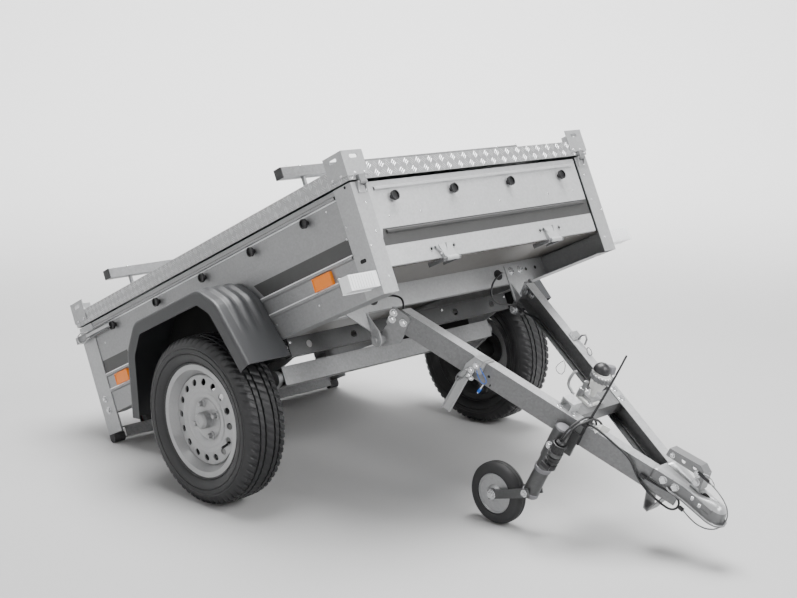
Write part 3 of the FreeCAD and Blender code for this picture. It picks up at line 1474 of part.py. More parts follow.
def make_leads():
    """Electric leads: a loop from each grommet, a run along each beam, and two to the plug."""
    lip = d.front_beam_face + d.grommet_lip
    low = d.beam_top - d.beam_height
    clip_left = (252, low - 6)
    clip_right = (beam_line(-1, d.right_clip, Size.of(21))[1], d.right_clip_up)
    loop = [
        BOX.place(lip, d.grommet_at, d.grommet_up),
        BOX.place(503, 293, 198),
        BOX.place(519, 268, 195),
        BOX.place(525, 236, 185),
        BOX.place(523, 207, 166),
        BOX.place(519, 190, 140),
        BOX.place(518, 189, 114),
        BOX.place(525, 202, 94),
        BOX.place(536, 226, 87),
        DRAWBAR.place(d.left_clip - 26, *clip_left),
        DRAWBAR.place(d.left_clip - 0.3, *clip_left),
    ]
    Cord("lead_left_loop", BOX, d.lead_radius, loop)
    joint_up = low + d.beam_gauge + 10
    long_run = [
        DRAWBAR.place(d.left_clip + 12, *clip_left),
        DRAWBAR.place(95, 248, 56),
        DRAWBAR.place(119, 244, 66),
        beside(1, 148, 24, 69),
        beside(1, 776, 19, 65),
        beside(1, 806, 20, 67),
        DRAWBAR.place(832, 35, 72),
        DRAWBAR.place(845, 10, 76),
        DRAWBAR.place(842, -19, 76),
        DRAWBAR.place(822, -41, 73),
        beside(-1, 792, 21, 70),
        beside(-1, 758, 17, 68),
        beside(-1, 722, 17, joint_up - 1),
        beside(-1, d.joint_front, 18, joint_up),
    ]
    Cord("lead_left", DRAWBAR, d.lead_radius, long_run)
    arch = [
        BOX.place(lip, -d.grommet_at, d.grommet_up),
        DRAWBAR.place(-88, -291, 92),
        DRAWBAR.place(-68, -270, 108),
        DRAWBAR.place(-42, -256, 117),
        DRAWBAR.place(-15, -266, 114),
        DRAWBAR.place(d.right_clip - 25, *clip_right),
        DRAWBAR.place(d.right_clip - 0.3, *clip_right),
    ]
    Cord("lead_right_loop", BOX, d.lead_radius, arch)
    hidden = [
        beside(-1, d.right_clip + 12, 21, d.right_clip_up),
        beside(-1, 110, 20, 103),
        beside(-1, 190, 19, 94),
        beside(-1, 275, 18, 84),
        beside(-1, 360, 18, 76),
        beside(-1, 445, 18, 70),
        beside(-1, 525, 18, 67),
        beside(-1, 590, 18, 68),
        beside(-1, d.joint_rear, 18, joint_up),
    ]
    Cord("lead_right", DRAWBAR, d.lead_radius, hidden)
    plug_at = d.leg_at + d.plug_ahead
    plug_out = -(d.leg_out + d.plug_out)
    for name, shift, start in (("plug_lead_rear", -5.5, 652), ("plug_lead_front", 5.5, 670)):
        along = (2 * plug_at + start) / 3 + shift
        rise = 0 if shift < 0 else 5
        strand = [
            beside(-1, start, 45, low + d.beam_gauge + 20),
            beside(-1, start, 46, 103),
            beside(-1, start - 1, 40, 126 + rise),
            DRAWBAR.place((plug_at + start) / 2 + shift / 2 + 2, -97, 147 + rise),
            DRAWBAR.place(along, -123, 154 + rise),
            DRAWBAR.place(along - 1, -151, 151 + rise),
            DRAWBAR.place(plug_at + shift + 1, -177, 137 + rise),
            DRAWBAR.place(plug_at + shift, plug_out + 5, 113 + rise),
            DRAWBAR.place(plug_at + shift, plug_out, d.plug_high),
        ]
        Cord(name, DRAWBAR, d.lead_radius, strand)


def make_safety_cable():
    """Coated cable along the near beam, turned back to a ferrule, and the steel rope from it."""
    coated = [
        beside(-1, d.band_at + 12, -6, 138),
        DRAWBAR.place(676, -121, 141),
        DRAWBAR.place(706, -111, 136),
        DRAWBAR.place(738, -101.5, 129),
        DRAWBAR.place(770, -91, 123),
        DRAWBAR.place(800, -81.5, 110),
        DRAWBAR.place(826, -73, 84),
        DRAWBAR.place(852, -65, 65),
        DRAWBAR.place(880, -56.5, 53),
        DRAWBAR.place(908, -47.5, 46),
        DRAWBAR.place(932, -40.5, 43),
        DRAWBAR.place(953, -35, 43.5),
        DRAWBAR.place(967, -31.5, 57.5),
        DRAWBAR.place(967, -31.5, 77.5),
        DRAWBAR.place(953, -35, 91.5),
        DRAWBAR.place(932, -41.5, 92.5),
        DRAWBAR.place(906, -50, 90),
        DRAWBAR.place(880, -57.5, 89),
        beside(-1, 855, -6, 88),
    ]
    Cord("safety_cable", DRAWBAR, d.lead_radius, coated)
    rope = [
        DRAWBAR.place(986, -32, 69),
        DRAWBAR.place(1011, -28, 61),
        DRAWBAR.place(1039, -22, 57),
        DRAWBAR.place(1066, -15, 63),
        DRAWBAR.place(1087, -9, 80),
        DRAWBAR.place(1097, -6, 105),
        DRAWBAR.place(1096, -6, 131),
        DRAWBAR.place(1084, -9, 154),
        DRAWBAR.place(1062, -13, 171),
        DRAWBAR.place(1035, -17, 182),
        DRAWBAR.place(1004, -19, 188),
    ]
    Cord("safety_rope", DRAWBAR, d.wire_radius, rope)


def make_lanyard():
    """A short string in a narrow loop, with both of its ends on the near clasp's lever."""
    loop = [
        beside(-1, 303, -8, 90),
        beside(-1, 310, -13, 86),
        beside(-1, 318, -15, 79),
        beside(-1, 326.5, -15, 72.5),
        beside(-1, 335, -15, 67),
        beside(-1, 343, -15, 68),
        beside(-1, 346.5, -15, 75),
        beside(-1, 343.5, -15, 83),
        beside(-1, 336, -15, 90.5),
        beside(-1, 327, -15, 97),
        beside(-1, 317, -13, 101.5),
        beside(-1, 309, -8, 104),
    ]
    Cord("pin_lanyard", DRAWBAR, d.string_radius, loop)


def make_all():
    make_floor()
    make_side_panels()
    make_posts()
    make_cross_members()
    make_feet()
    make_axle()
    make_wheels()
    make_mudguards()
    make_boards()
    make_board_hinges()
    make_lid()
    make_lid_hinges()
    make_lid_lugs()
    make_crossbars()
    make_knobs()
    make_reflectors()
    make_lamps()
    make_latches()
    make_hinge_plates()
    make_grommets()
    make_beams()
    make_drawbar_brackets()
    make_tie()
    make_coupling()
    make_strap_foot()
    make_tip_locks()
    make_jack()
    make_jockey()
    make_plug()
    make_cable_clips()
    make_leads()
    make_safety_cable()
    make_lanyard()


def check_and_write():
    """Stop if anything failed, then write each piece to its own STEP file."""
    doc.recompute()
    failed = [thing.Name for thing in doc.Objects if {"Invalid", "Error"} & set(thing.State)]
    if failed:
        raise RuntimeError(f"these objects failed: {failed}")
    for piece in Piece.made:
        shape = piece.body.Shape
        if shape.isNull() or not shape.isValid():
            raise RuntimeError(f"{piece.name} has no valid shape")
    os.makedirs(PARTS_FOLDER, exist_ok=True)
    for piece in Piece.made:
        piece.body.Shape.exportStep(os.path.join(PARTS_FOLDER, f"{piece.name}.step"))
    print(f"tip {TIP.value:.3f} degrees, drawbar hinge at {DRAWBAR.x.value:.2f}, {DRAWBAR.z.value:.2f}")
    print(f"fork {FORK.pitch.value:.3f} degrees at {FORK.x.value:.2f}, {FORK.z.value:.2f}")


make_all()
check_and_write()
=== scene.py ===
"""A small tipping trailer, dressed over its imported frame.

The box stands tipped back on its rear feet, the drawbar reaches down to the ground in
front, and every surface gets its zinc, rubber, plastic or enamel from shader nodes.
Places on the box are millimetres along it, across it and above the wheel axis; places
on the drawbar are measured from its hinge. Shaders, cords and the studio work in metres.
"""

from __future__ import annotations

import logging
import math
from collections.abc import Callable, Sequence
from dataclasses import dataclass, field
from enum import Enum
from functools import cache
from typing import ClassVar

import bmesh
import bpy
import numpy as np
from mathutils import Matrix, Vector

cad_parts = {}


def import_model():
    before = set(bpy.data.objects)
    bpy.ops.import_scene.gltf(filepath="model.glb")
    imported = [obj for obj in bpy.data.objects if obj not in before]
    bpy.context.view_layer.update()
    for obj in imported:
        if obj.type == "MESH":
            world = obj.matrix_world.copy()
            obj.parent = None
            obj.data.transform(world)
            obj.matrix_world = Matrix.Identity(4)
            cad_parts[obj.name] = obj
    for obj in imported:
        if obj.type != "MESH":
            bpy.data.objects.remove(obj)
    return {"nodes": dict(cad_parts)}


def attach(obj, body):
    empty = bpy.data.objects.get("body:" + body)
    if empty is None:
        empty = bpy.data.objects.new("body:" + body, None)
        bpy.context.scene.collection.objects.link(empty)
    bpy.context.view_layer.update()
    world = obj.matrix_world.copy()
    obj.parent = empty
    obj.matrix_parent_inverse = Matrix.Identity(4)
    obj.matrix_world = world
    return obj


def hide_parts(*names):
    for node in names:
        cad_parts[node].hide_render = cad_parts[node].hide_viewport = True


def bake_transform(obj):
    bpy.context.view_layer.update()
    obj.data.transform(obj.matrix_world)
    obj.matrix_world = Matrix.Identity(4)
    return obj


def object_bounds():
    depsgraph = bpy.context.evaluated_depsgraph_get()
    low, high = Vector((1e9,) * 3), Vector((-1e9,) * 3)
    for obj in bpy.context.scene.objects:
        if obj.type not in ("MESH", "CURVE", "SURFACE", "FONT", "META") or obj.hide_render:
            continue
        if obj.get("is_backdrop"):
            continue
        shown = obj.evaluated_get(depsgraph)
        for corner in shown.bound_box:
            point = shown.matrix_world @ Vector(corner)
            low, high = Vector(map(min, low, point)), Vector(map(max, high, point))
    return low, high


log = logging.getLogger("trailer")
PHOTO_SIZE = (797, 598)
MM = 0.001
SIDES = (-1, 1)
AHEAD = (1, 0, 0)
BEHIND = (-1, 0, 0)
UP = (0, 0, 1)
Spot = tuple[float, float, float]
Points = Sequence[Sequence[float]] | np.ndarray
Link = bpy.types.NodeSocket


@dataclass(frozen=True)
class Place:
    """A frame that a group of pieces is measured in: its origin and its pitch about Y."""

    x: float
    z: float
    pitch: float

    def world(self, points: Points) -> np.ndarray:
        """Turn local points into world points.

        With pitch p, x is the origin's + along cos p + up sin p, and z is the origin's
        - along sin p + up cos p.

        Args:
            points: (along, across, up) in millimetres, any leading shape.

        Returns:
            The same array in metres in the world.
        """
        along, across, up = np.moveaxis(np.asarray(points, float) * MM, -1, 0)
        cosine, sine = math.cos(self.pitch), math.sin(self.pitch)
        x = self.x + along * cosine + up * sine
        return np.stack([x, across, self.z - along * sine + up * cosine], axis=-1)


WORLD = Place(0.0, 0.0, 0.0)
BOX = Place(-0.24097, 0.267, -math.radians(24.798))
BAR = Place(0.174978, 0.537387, math.radians(27.15))
FORK = Place(0.648473, 0.130487, -math.radians(15.384))


class Body(Enum):
    """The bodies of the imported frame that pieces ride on."""

    BOX = "box"
    RIGHT_WHEEL = "wheel_right"
    LEFT_WHEEL = "wheel_left"
    LID = "lid"
    FRONT_BOARD = "front_board"
    TAILGATE = "tailgate"
    DRAWBAR = "drawbar"
    LEG = "jockey_leg"
    FORK = "jockey_fork"
    JOCKEY = "jockey_wheel"


WHEELS = (("right", -1, Body.RIGHT_WHEEL), ("left", 1, Body.LEFT_WHEEL))


def unit(vectors: Points) -> np.ndarray:
    """Vectors with their lengths made one."""
    return np.asarray(vectors, float) / np.linalg.norm(vectors, axis=-1, keepdims=True)


def turns(count: int) -> np.ndarray:
    """Angles that share a full turn evenly."""
    return np.linspace(0.0, 2.0 * math.pi, count, endpoint=False)


def ring(radius: np.ndarray | float, up: float, count: int) -> np.ndarray:
    """Points (r cos t, r sin t, up) round the third axis."""
    turn = turns(count)
    return np.c_[radius * np.cos(turn), radius * np.sin(turn), np.full(count, up)]


def travelled(path: np.ndarray) -> np.ndarray:
    """The length of a path so far, at each of its points."""
    return np.r_[0.0, np.cumsum(np.linalg.norm(np.diff(path, axis=0), axis=1))]


def resampled(path: Points, at: np.ndarray, known: np.ndarray | None = None) -> np.ndarray:
    """A path's points at other stations.

    Args:
        path: Points of any dimension.
        at: The stations that are wanted.
        known: The stations of the path's own points, or nothing to count them from nought.

    Returns:
        Points on the straights between the path's own.
    """
    known = np.arange(len(path)) if known is None else known
    return np.stack([np.interp(at, known, column) for column in np.asarray(path, float).T], axis=1)


def facing_frame(first: np.ndarray, second: np.ndarray, third: np.ndarray, spot: Points) -> Matrix:
    """The matrix that stands a camera or a lamp at a spot, turned to three axes."""
    turn = Matrix((first.tolist(), second.tolist(), third.tolist())).transposed()
    return Matrix.Translation(spot) @ turn.to_4x4()


@dataclass
class Form:
    """Points and faces of a piece while it is worked out."""

    points: np.ndarray = field(default_factory=lambda: np.zeros((0, 3)))
    faces: list[tuple[int, ...]] = field(default_factory=list)

    @staticmethod
    def sheet(grid: Points, around: bool = False, along: bool = False, ends: bool = False) -> Form:
        """Faces over a grid of points.

        Args:
            grid: Rows by columns by three.
            around: Whether the last column joins the first.
            along: Whether the last row joins the first.
            ends: Whether a face closes the first row and the last.

        Returns:
            One face for every four neighbouring points.
        """
        grid = np.asarray(grid, float)
        index = np.arange(grid.shape[0] * grid.shape[1]).reshape(grid.shape[:2])
        caps = [tuple(index[0, ::-1].tolist()), tuple(index[-1].tolist())] if ends else []
        if around:
            index = np.c_[index, index[:, :1]]
        if along:
            index = np.r_[index, index[:1]]
        quads = np.stack([index[:-1, :-1], index[:-1, 1:], index[1:, 1:], index[1:, :-1]], axis=-1)
        return Form(grid.reshape(-1, 3), [tuple(face) for face in quads.reshape(-1, 4).tolist()] + caps)

    @staticmethod
    def prism(outline: Points, low: float, high: float) -> Form:
        """An outline in the first two coordinates, carried from one level to another."""
        levels = [np.c_[np.asarray(outline, float), np.full(len(outline), up)] for up in sorted((low, high))]
        return Form.sheet(levels, around=True, ends=True)

    @staticmethod
    def slab(outline: Points, low: float, high: float) -> Form:
        """A prism that runs across: its outline is (along, up)."""
        return Form.prism(outline, low, high).shaped(lambda p: p[:, [0, 2, 1]])

    @staticmethod
    def block(low: Spot, high: Spot) -> Form:
        """A rectangular block between two corners."""
        (x0, x1), (y0, y1), (z0, z1) = (sorted(pair) for pair in zip(low, high))
        return Form.prism([(x0, y0), (x1, y0), (x1, y1), (x0, y1)], z0, z1)

    @staticmethod
    def turned(profile: Points, steps: int) -> Form:
        """A profile of radius and height turned round the third axis.

        Args:
            profile: (radius, height) by rows; an end at radius nought closes to a fan.
            steps: Copies round the axis.

        Returns:
            The surface, each point at (r cos t, r sin t, h).
        """
        profile = np.asarray(profile, float)
        open_rows = profile[profile[:, 0] > 0.0]
        turn = turns(steps)
        radius = open_rows[:, :1]
        level = np.repeat(open_rows[:, 1:], steps, axis=1)
        rows = np.stack([radius * np.cos(turn), radius * np.sin(turn), level], axis=-1)
        made = Form.sheet(rows, around=True)
        for end in (0, -1):
            if profile[end, 0] == 0.0:
                edge = np.arange(steps) + end % len(open_rows) * steps
                pairs = np.c_[edge, np.roll(edge, -1)][:, :: 1 if end else -1]
                made.faces += [(len(made.points), *pair) for pair in pairs.tolist()]
                made.points = np.r_[made.points, [[0.0, 0.0, profile[end, 1]]]]
        return made

    @staticmethod
    def tube(path: Points, radius: float, sides: int = 12) -> Form:
        """A round tube along a path, closed at both ends.

        Each ring lies square to the path's direction there. Its first axis is the last
        ring's, with the part along the new direction taken off, so the tube doesn't twist.

        Args:
            path: Points in order.
            radius: The tube's radius.
            sides: Points in a ring.

        Returns:
            The tube's surface.
        """
        path = np.asarray(path, float)
        heading = unit(np.gradient(path, axis=0))
        side = np.cross(heading[0], (0.0, 0.0, 1.0))
        if np.linalg.norm(side) < 0.1:
            side = np.cross(heading[0], (0.0, 1.0, 0.0))
        sidewise = []
        for step in heading:
            side = unit(side - step * side.dot(step))
            sidewise.append(side)
        upwards = np.cross(heading, sidewise)
        turn = turns(sides)[None, :, None]
        rings = np.cos(turn) * np.array(sidewise)[:, None] + np.sin(turn) * upwards[:, None]
        return Form.sheet(path[:, None] + radius * rings, around=True, ends=True)

    def shaped(self, change: Callable[[np.ndarray], np.ndarray]) -> Form:
        """The same faces over points that a function has moved."""
        return Form(change(self.points), self.faces)

    def stood(self, spot: Spot, facing: Spot = UP) -> Form:
        """Stand a form, made about the third axis, on a surface.

        Args:
            spot: Where the form's origin goes.
            facing: The way its third axis points.

        Returns:
            The form, in the frame of the spot.
        """
        up = unit(facing)
        first = np.cross((0.0, 1.0, 0.0), up)
        if np.linalg.norm(first) < 0.2:
            first = AHEAD - up * up[0]
        first = unit(first)
        return Form(self.points @ np.array([first, np.cross(up, first), up]) + spot, self.faces)

    def __add__(self, other: Form) -> Form:
        """Both forms as one."""
        start = len(self.points)
        shifted = [tuple(corner + start for corner in face) for face in other.faces]
        return Form(np.concatenate([self.points, other.points]), self.faces + shifted)

    def build(self, name: str, smooth: float = 40.0) -> bpy.types.Object:
        """Make the object.

        Args:
            name: The piece's name.
            smooth: Edges flatter than this angle in degrees are shaded smooth.

        Returns:
            The object, at the origin, with its place in its mesh.
        """
        mesh = bpy.data.meshes.new(name)
        mesh.from_pydata(self.points.tolist(), [], self.faces)
        shell = bmesh.new()
        shell.from_mesh(mesh)
        bmesh.ops.recalc_face_normals(shell, faces=shell.faces)
        shell.to_mesh(mesh)
        shell.free()
        obj = bpy.data.objects.new(name, mesh)
        bpy.context.collection.objects.link(obj)
        mesh.shade_smooth()
        mesh.set_sharp_from_angle(angle=math.radians(smooth))
        return obj


class Value:
    """A number from a shader's socket, with arithmetic that adds Math nodes."""

    def __init__(self, shader: Shader, socket: Link) -> None:
        """Keep the socket and the shader that it belongs to."""
        self.shader = shader
        self.socket = socket

    def maths(self, operation: str, *others: Value | float) -> Value:
        """Add one Math node with this value first."""
        node = self.shader.node("ShaderNodeMath", {"operation": operation}, dict(enumerate((self, *others))))
        return Value(self.shader, node.outputs[0])

    def __add__(self, other: Value | float) -> Value:
        """Sum."""
        return self.maths("ADD", other)

    def __mul__(self, other: Value | float) -> Value:
        """Product."""
        return self.maths("MULTIPLY", other)

    def __sub__(self, other: Value | float) -> Value:
        """Difference."""
        return self.maths("SUBTRACT", other)

    def __rsub__(self, other: float) -> Value:
        """A number less this value."""
        return self * -1.0 + other

    def __abs__(self) -> Value:
        """The value without its sign."""
        return self.maths("ABSOLUTE")

    def over(self, limit: float) -> Value:
        """One where the value is above a limit."""
        return self.maths("GREATER_THAN", limit)

    def ease(self, low: float, high: float) -> Value:
        """Nought below one limit, one above the other and a smooth step between them."""
        settings = {"interpolation_type": "SMOOTHSTEP"}
        node = self.shader.node("ShaderNodeMapRange", settings, {"Value": self, 1: low, 2: high})
        return Value(self.shader, node.outputs[0])

    def band(self, low: float, high: float, soft: float) -> Value:
        """One between two limits, with soft edges."""
        return self.ease(low - soft, low + soft) * (1 - self.ease(high - soft, high + soft))


class Shader:
    """A material while its nodes are made."""

    def __init__(self, name: str) -> None:
        """Start a material with only its shader, output and coordinates."""
        self.material = bpy.data.materials.new(name)
        self.material.use_nodes = True
        self.tree = self.material.node_tree
        self.tree.nodes.clear()
        output = self.node("ShaderNodeOutputMaterial")
        self.surface = self.node("ShaderNodeBsdfPrincipled")
        self.fill(output, {0: self.surface.outputs[0]})
        self.coordinates = self.node("ShaderNodeTexCoord").outputs["Object"]

    def fill(self, node: bpy.types.Node, sockets: dict[str | int, object]) -> None:
        """Give a node's inputs their values or links.

        Args:
            node: The node.
            sockets: What each input gets, by its name or number; three numbers are a colour.
        """
        for key, value in sockets.items():
            socket = node.inputs[key]
            if isinstance(value, Value):
                self.tree.links.new(value.socket, socket)
            elif isinstance(value, Link):
                self.tree.links.new(value, socket)
            else:
                socket.default_value = (*value, 1.0) if isinstance(value, tuple) else value

    def node(self, kind: str, settings: dict | None = None, sockets: dict | None = None) -> bpy.types.Node:
        """Add a node.

        Args:
            kind: The node's type.
            settings: Its own settings, set first.
            sockets: Values or links of its inputs, by name or number.

        Returns:
            The node.
        """
        made = self.tree.nodes.new(kind)
        for key, value in (settings or {}).items():
            setattr(made, key, value)
        self.fill(made, sockets or {})
        return made

    def local(self, place: Place) -> tuple[Value, Value, Value]:
        """Coordinates in a frame, in metres.

        Along is dx cos p - dz sin p and up is dx sin p + dz cos p, where dx and dz are
        measured from the frame's origin and p is its pitch.

        Args:
            place: The frame.

        Returns:
            Along, across and up.
        """
        split = self.node("ShaderNodeSeparateXYZ", None, {0: self.coordinates})
        x, y, z = (Value(self, socket) for socket in split.outputs)
        if place is WORLD:
            return x, y, z
        dx, dz = x - place.x, z - place.z
        cosine, sine = math.cos(place.pitch), math.sin(place.pitch)
        return dx * cosine - dz * sine, y, dx * sine + dz * cosine

    def vector(self, *parts: Value | float) -> Link:
        """Three numbers as a vector, or one number three times."""
        parts = parts * 3 if len(parts) == 1 else parts
        return self.node("ShaderNodeCombineXYZ", None, dict(enumerate(parts))).outputs[0]

    def noise(self, scale: float, detail: float = 3.0, at: Link | None = None) -> Value:
        """Cloudy noise from nought to one."""
        sockets = {"Vector": at or self.coordinates, "Scale": scale, "Detail": detail, "Roughness": 0.55}
        return Value(self, self.node("ShaderNodeTexNoise", None, sockets).outputs[0])

    def cells(self, scale: float) -> Value:
        """A different number in each cell of a crystal pattern."""
        cell = self.node("ShaderNodeTexVoronoi", None, {"Vector": self.coordinates, "Scale": scale})
        return Value(self, self.node("ShaderNodeSeparateXYZ", None, {0: cell.outputs["Color"]}).outputs[0])

    def mix(self, amount: Value, first: Spot | Link, second: Spot | Link) -> Link:
        """One colour where the amount is nought, the other where it is one."""
        sockets = {"Factor": amount, 6: first, 7: second}
        return self.node("ShaderNodeMix", {"data_type": "RGBA"}, sockets).outputs[2]

    def relief(self, height: Value, depth: float, strength: float) -> Link:
        """A normal bent by a height from nought to one, that deep in metres."""
        sockets = {"Height": height, "Distance": depth, "Strength": strength}
        return self.node("ShaderNodeBump", None, sockets).outputs[0]

    def finish(self, **sockets: object) -> bpy.types.Material:
        """Set the shader's own sockets, named with underscores for spaces, and give the material."""
        self.fill(self.surface, {key.replace("_", " "): value for key, value in sockets.items()})
        return self.material


@dataclass(frozen=True)
class Zinc:
    """Hot-dipped sheet or bar: a grey that clouds, small crystals and faint drawn lines.

    Above the level `top` the grey is multiplied by a gain: a painted highlight that makes the face that sees
    the sky lighter.
    """

    name: str
    tone: float
    rough: float = 0.42
    metal: float = 0.6
    clouds: float = 0.10
    crystals: float = 0.06
    grain: float = 0.0
    place: Place = BOX
    stripe: bool = False
    # top and the gain after it paint a highlight: the grey above the level top is multiplied by the gain.
    top: float = 0.0
    highlight_gain: float = 1.0

    def material(self) -> bpy.types.Material:
        """Make the shader, with a dark printed stripe where the sheet carries one."""
        shader = Shader(self.name)
        along, across, up = shader.local(self.place)
        cloud = shader.noise(5.0, 4.0)
        crystal = shader.cells(150.0)
        lines = shader.noise(1.0, 2.0, shader.vector(along * 6.0, across * 6.0, up * 900.0))
        tone = self.tone * (1 - self.clouds - self.crystals - self.grain)
        light = cloud * (self.clouds * 2) + crystal * (self.crystals * 2) + lines * (self.grain * 2)
        value = light * self.tone + tone
        # Painted highlight: the grey is made lighter above the level top.
        if self.top:
            value = value * (up.ease(self.top - 0.0012, self.top) * (self.highlight_gain - 1) + 1)
        grey = shader.vector(*(value * tint for tint in (0.985, 0.995, 1.01)))
        rough = cloud * 0.16 + crystal * 0.05 + (self.rough - 0.1)
        metal: Value | float = self.metal
        if self.stripe:
            stripe = self._stripe(along, across, up)
            grey = shader.mix(stripe, grey, shader.vector(shader.noise(60.0, 4.0) * 0.012 + 0.03))
            rough = rough * (1 - stripe) + stripe * 0.42
            metal = (1 - stripe) * self.metal
        bump = shader.relief(shader.noise(420.0, 2.0) * 0.5 + lines * 0.5, 0.0002, 0.35)
        return shader.finish(Base_Color=grey, Metallic=metal, Roughness=rough, Normal=bump)

    @staticmethod
    def _stripe(along: Value, across: Value, up: Value) -> Value:
        """One inside the dark band outside the panels, whose ends slant ahead of the mudguards."""
        foot = 0.2945
        height = up.band(foot, 0.3455, 0.0004)
        slanted = along + (up - foot) * 0.75
        side = slanted.over(0.285) * (1 - along.over(0.716)) + along.over(-0.689) * (1 - along.over(-0.519))
        on_side = abs(across).over(0.52)
        outside = abs(across).over(0.5443)
        skewed = across + (up - foot) * -0.33
        front = skewed.over(-0.489) * (1 - across.over(0.488)) * along.over(0.7845)
        return height * (outside * side + (1 - on_side) * front)


@dataclass(frozen=True)
class Plain:
    """Moulded plastic, rubber, enamel or glass: one colour with cloud and grain."""

    name: str
    colour: Spot
    rough: float
    grain: float = 300.0
    depth: float = 0.0001
    cloud: float = 0.3
    coat: float = 0.0
    metal: float = 0.0

    def material(self) -> bpy.types.Material:
        """Make the shader: the noise runs from the colour less its cloud to the colour plus it."""
        shader = Shader(self.name)
        broad = shader.noise(14.0, 4.0)
        fine = shader.noise(self.grain, 3.0)
        darker = tuple(part * (1 - self.cloud) for part in self.colour)
        lighter = tuple(min(1.0, part * (1 + self.cloud)) for part in self.colour)
        return shader.finish(
            Base_Color=shader.mix(broad * 0.7 + fine * 0.3, darker, lighter),
            Metallic=self.metal,
            Roughness=broad * 0.1 + fine * 0.08 + (self.rough - 0.09),
            Normal=shader.relief(fine, self.depth, 0.4),
            Coat_Weight=self.coat,
            Coat_Roughness=0.08,
        )


@dataclass(frozen=True)
class Rim:
    """Silver enamel outside, and painted shade on the barrel behind the disc."""

    name: str
    tone: float
    inside: float

    def material(self) -> bpy.types.Material:
        """Make the shader: painted shade, near black, where the distance across is under the disc's place."""
        shader = Shader(self.name)
        _, across, _ = shader.local(BOX)
        # Painted shade: the barrel behind the disc is drawn near black and dull.
        painted_barrel_shade = 1 - abs(across).ease(self.inside - 0.002, self.inside)
        cloud = shader.noise(7.0, 3.0)
        flake = shader.cells(900.0)
        value = cloud * 0.05 + flake * 0.04 + (self.tone - 0.04)
        silver = shader.vector(value, value * 1.005, value * 1.015)
        return shader.finish(
            Base_Color=shader.mix(painted_barrel_shade, silver, shader.vector(shader.noise(30.0, 4.0) * 0.02 + 0.01)),
            Metallic=(1 - painted_barrel_shade) * 0.35,
            Roughness=painted_barrel_shade * 0.5 + cloud * 0.08 + 0.26,
            Normal=shader.relief(flake, 0.00005, 0.3),
            Coat_Weight=0.25,
        )


@dataclass(frozen=True)
class RearLamp:
    """A black housing whose rear face is a red lens."""

    name: str

    def material(self) -> bpy.types.Material:
        """Make the shader: red where the place along the box is behind the housing's lip."""
        shader = Shader(self.name)
        along, _, _ = shader.local(BOX)
        lens = 1 - along.over(-0.7665)
        ridge = (along * 900.0 + shader.noise(8.0) * 2.0).maths("SINE")
        red = shader.noise(200.0) * 0.08 + 0.42
        colour = shader.mix(lens, (0.012, 0.012, 0.013), shader.vector(red, red * 0.04, red * 0.04))
        rough = lens * -0.25 + 0.5
        bump = shader.relief(ridge, 0.0001, 0.3)
        return shader.finish(Base_Color=colour, Roughness=rough, Normal=bump, Coat_Weight=lens * 0.8)


@dataclass(frozen=True)
class Ground:
    """The studio's floor, its tone painted light and shade: mid grey under the trailer and white at the wall.
    """

    name: str

    def material(self) -> bpy.types.Material:
        """Make the shader: painted shade, the tone easing up with the distance from the middle."""
        shader = Shader(self.name)
        x, y, _ = shader.local(WORLD)
        away = (x * x + y * y).maths("POWER", 0.5).ease(2.5, 8.0)
        value = away * 0.50 + shader.noise(3.0) * 0.01 + 0.40
        return shader.finish(Base_Color=shader.vector(value), Roughness=0.9)


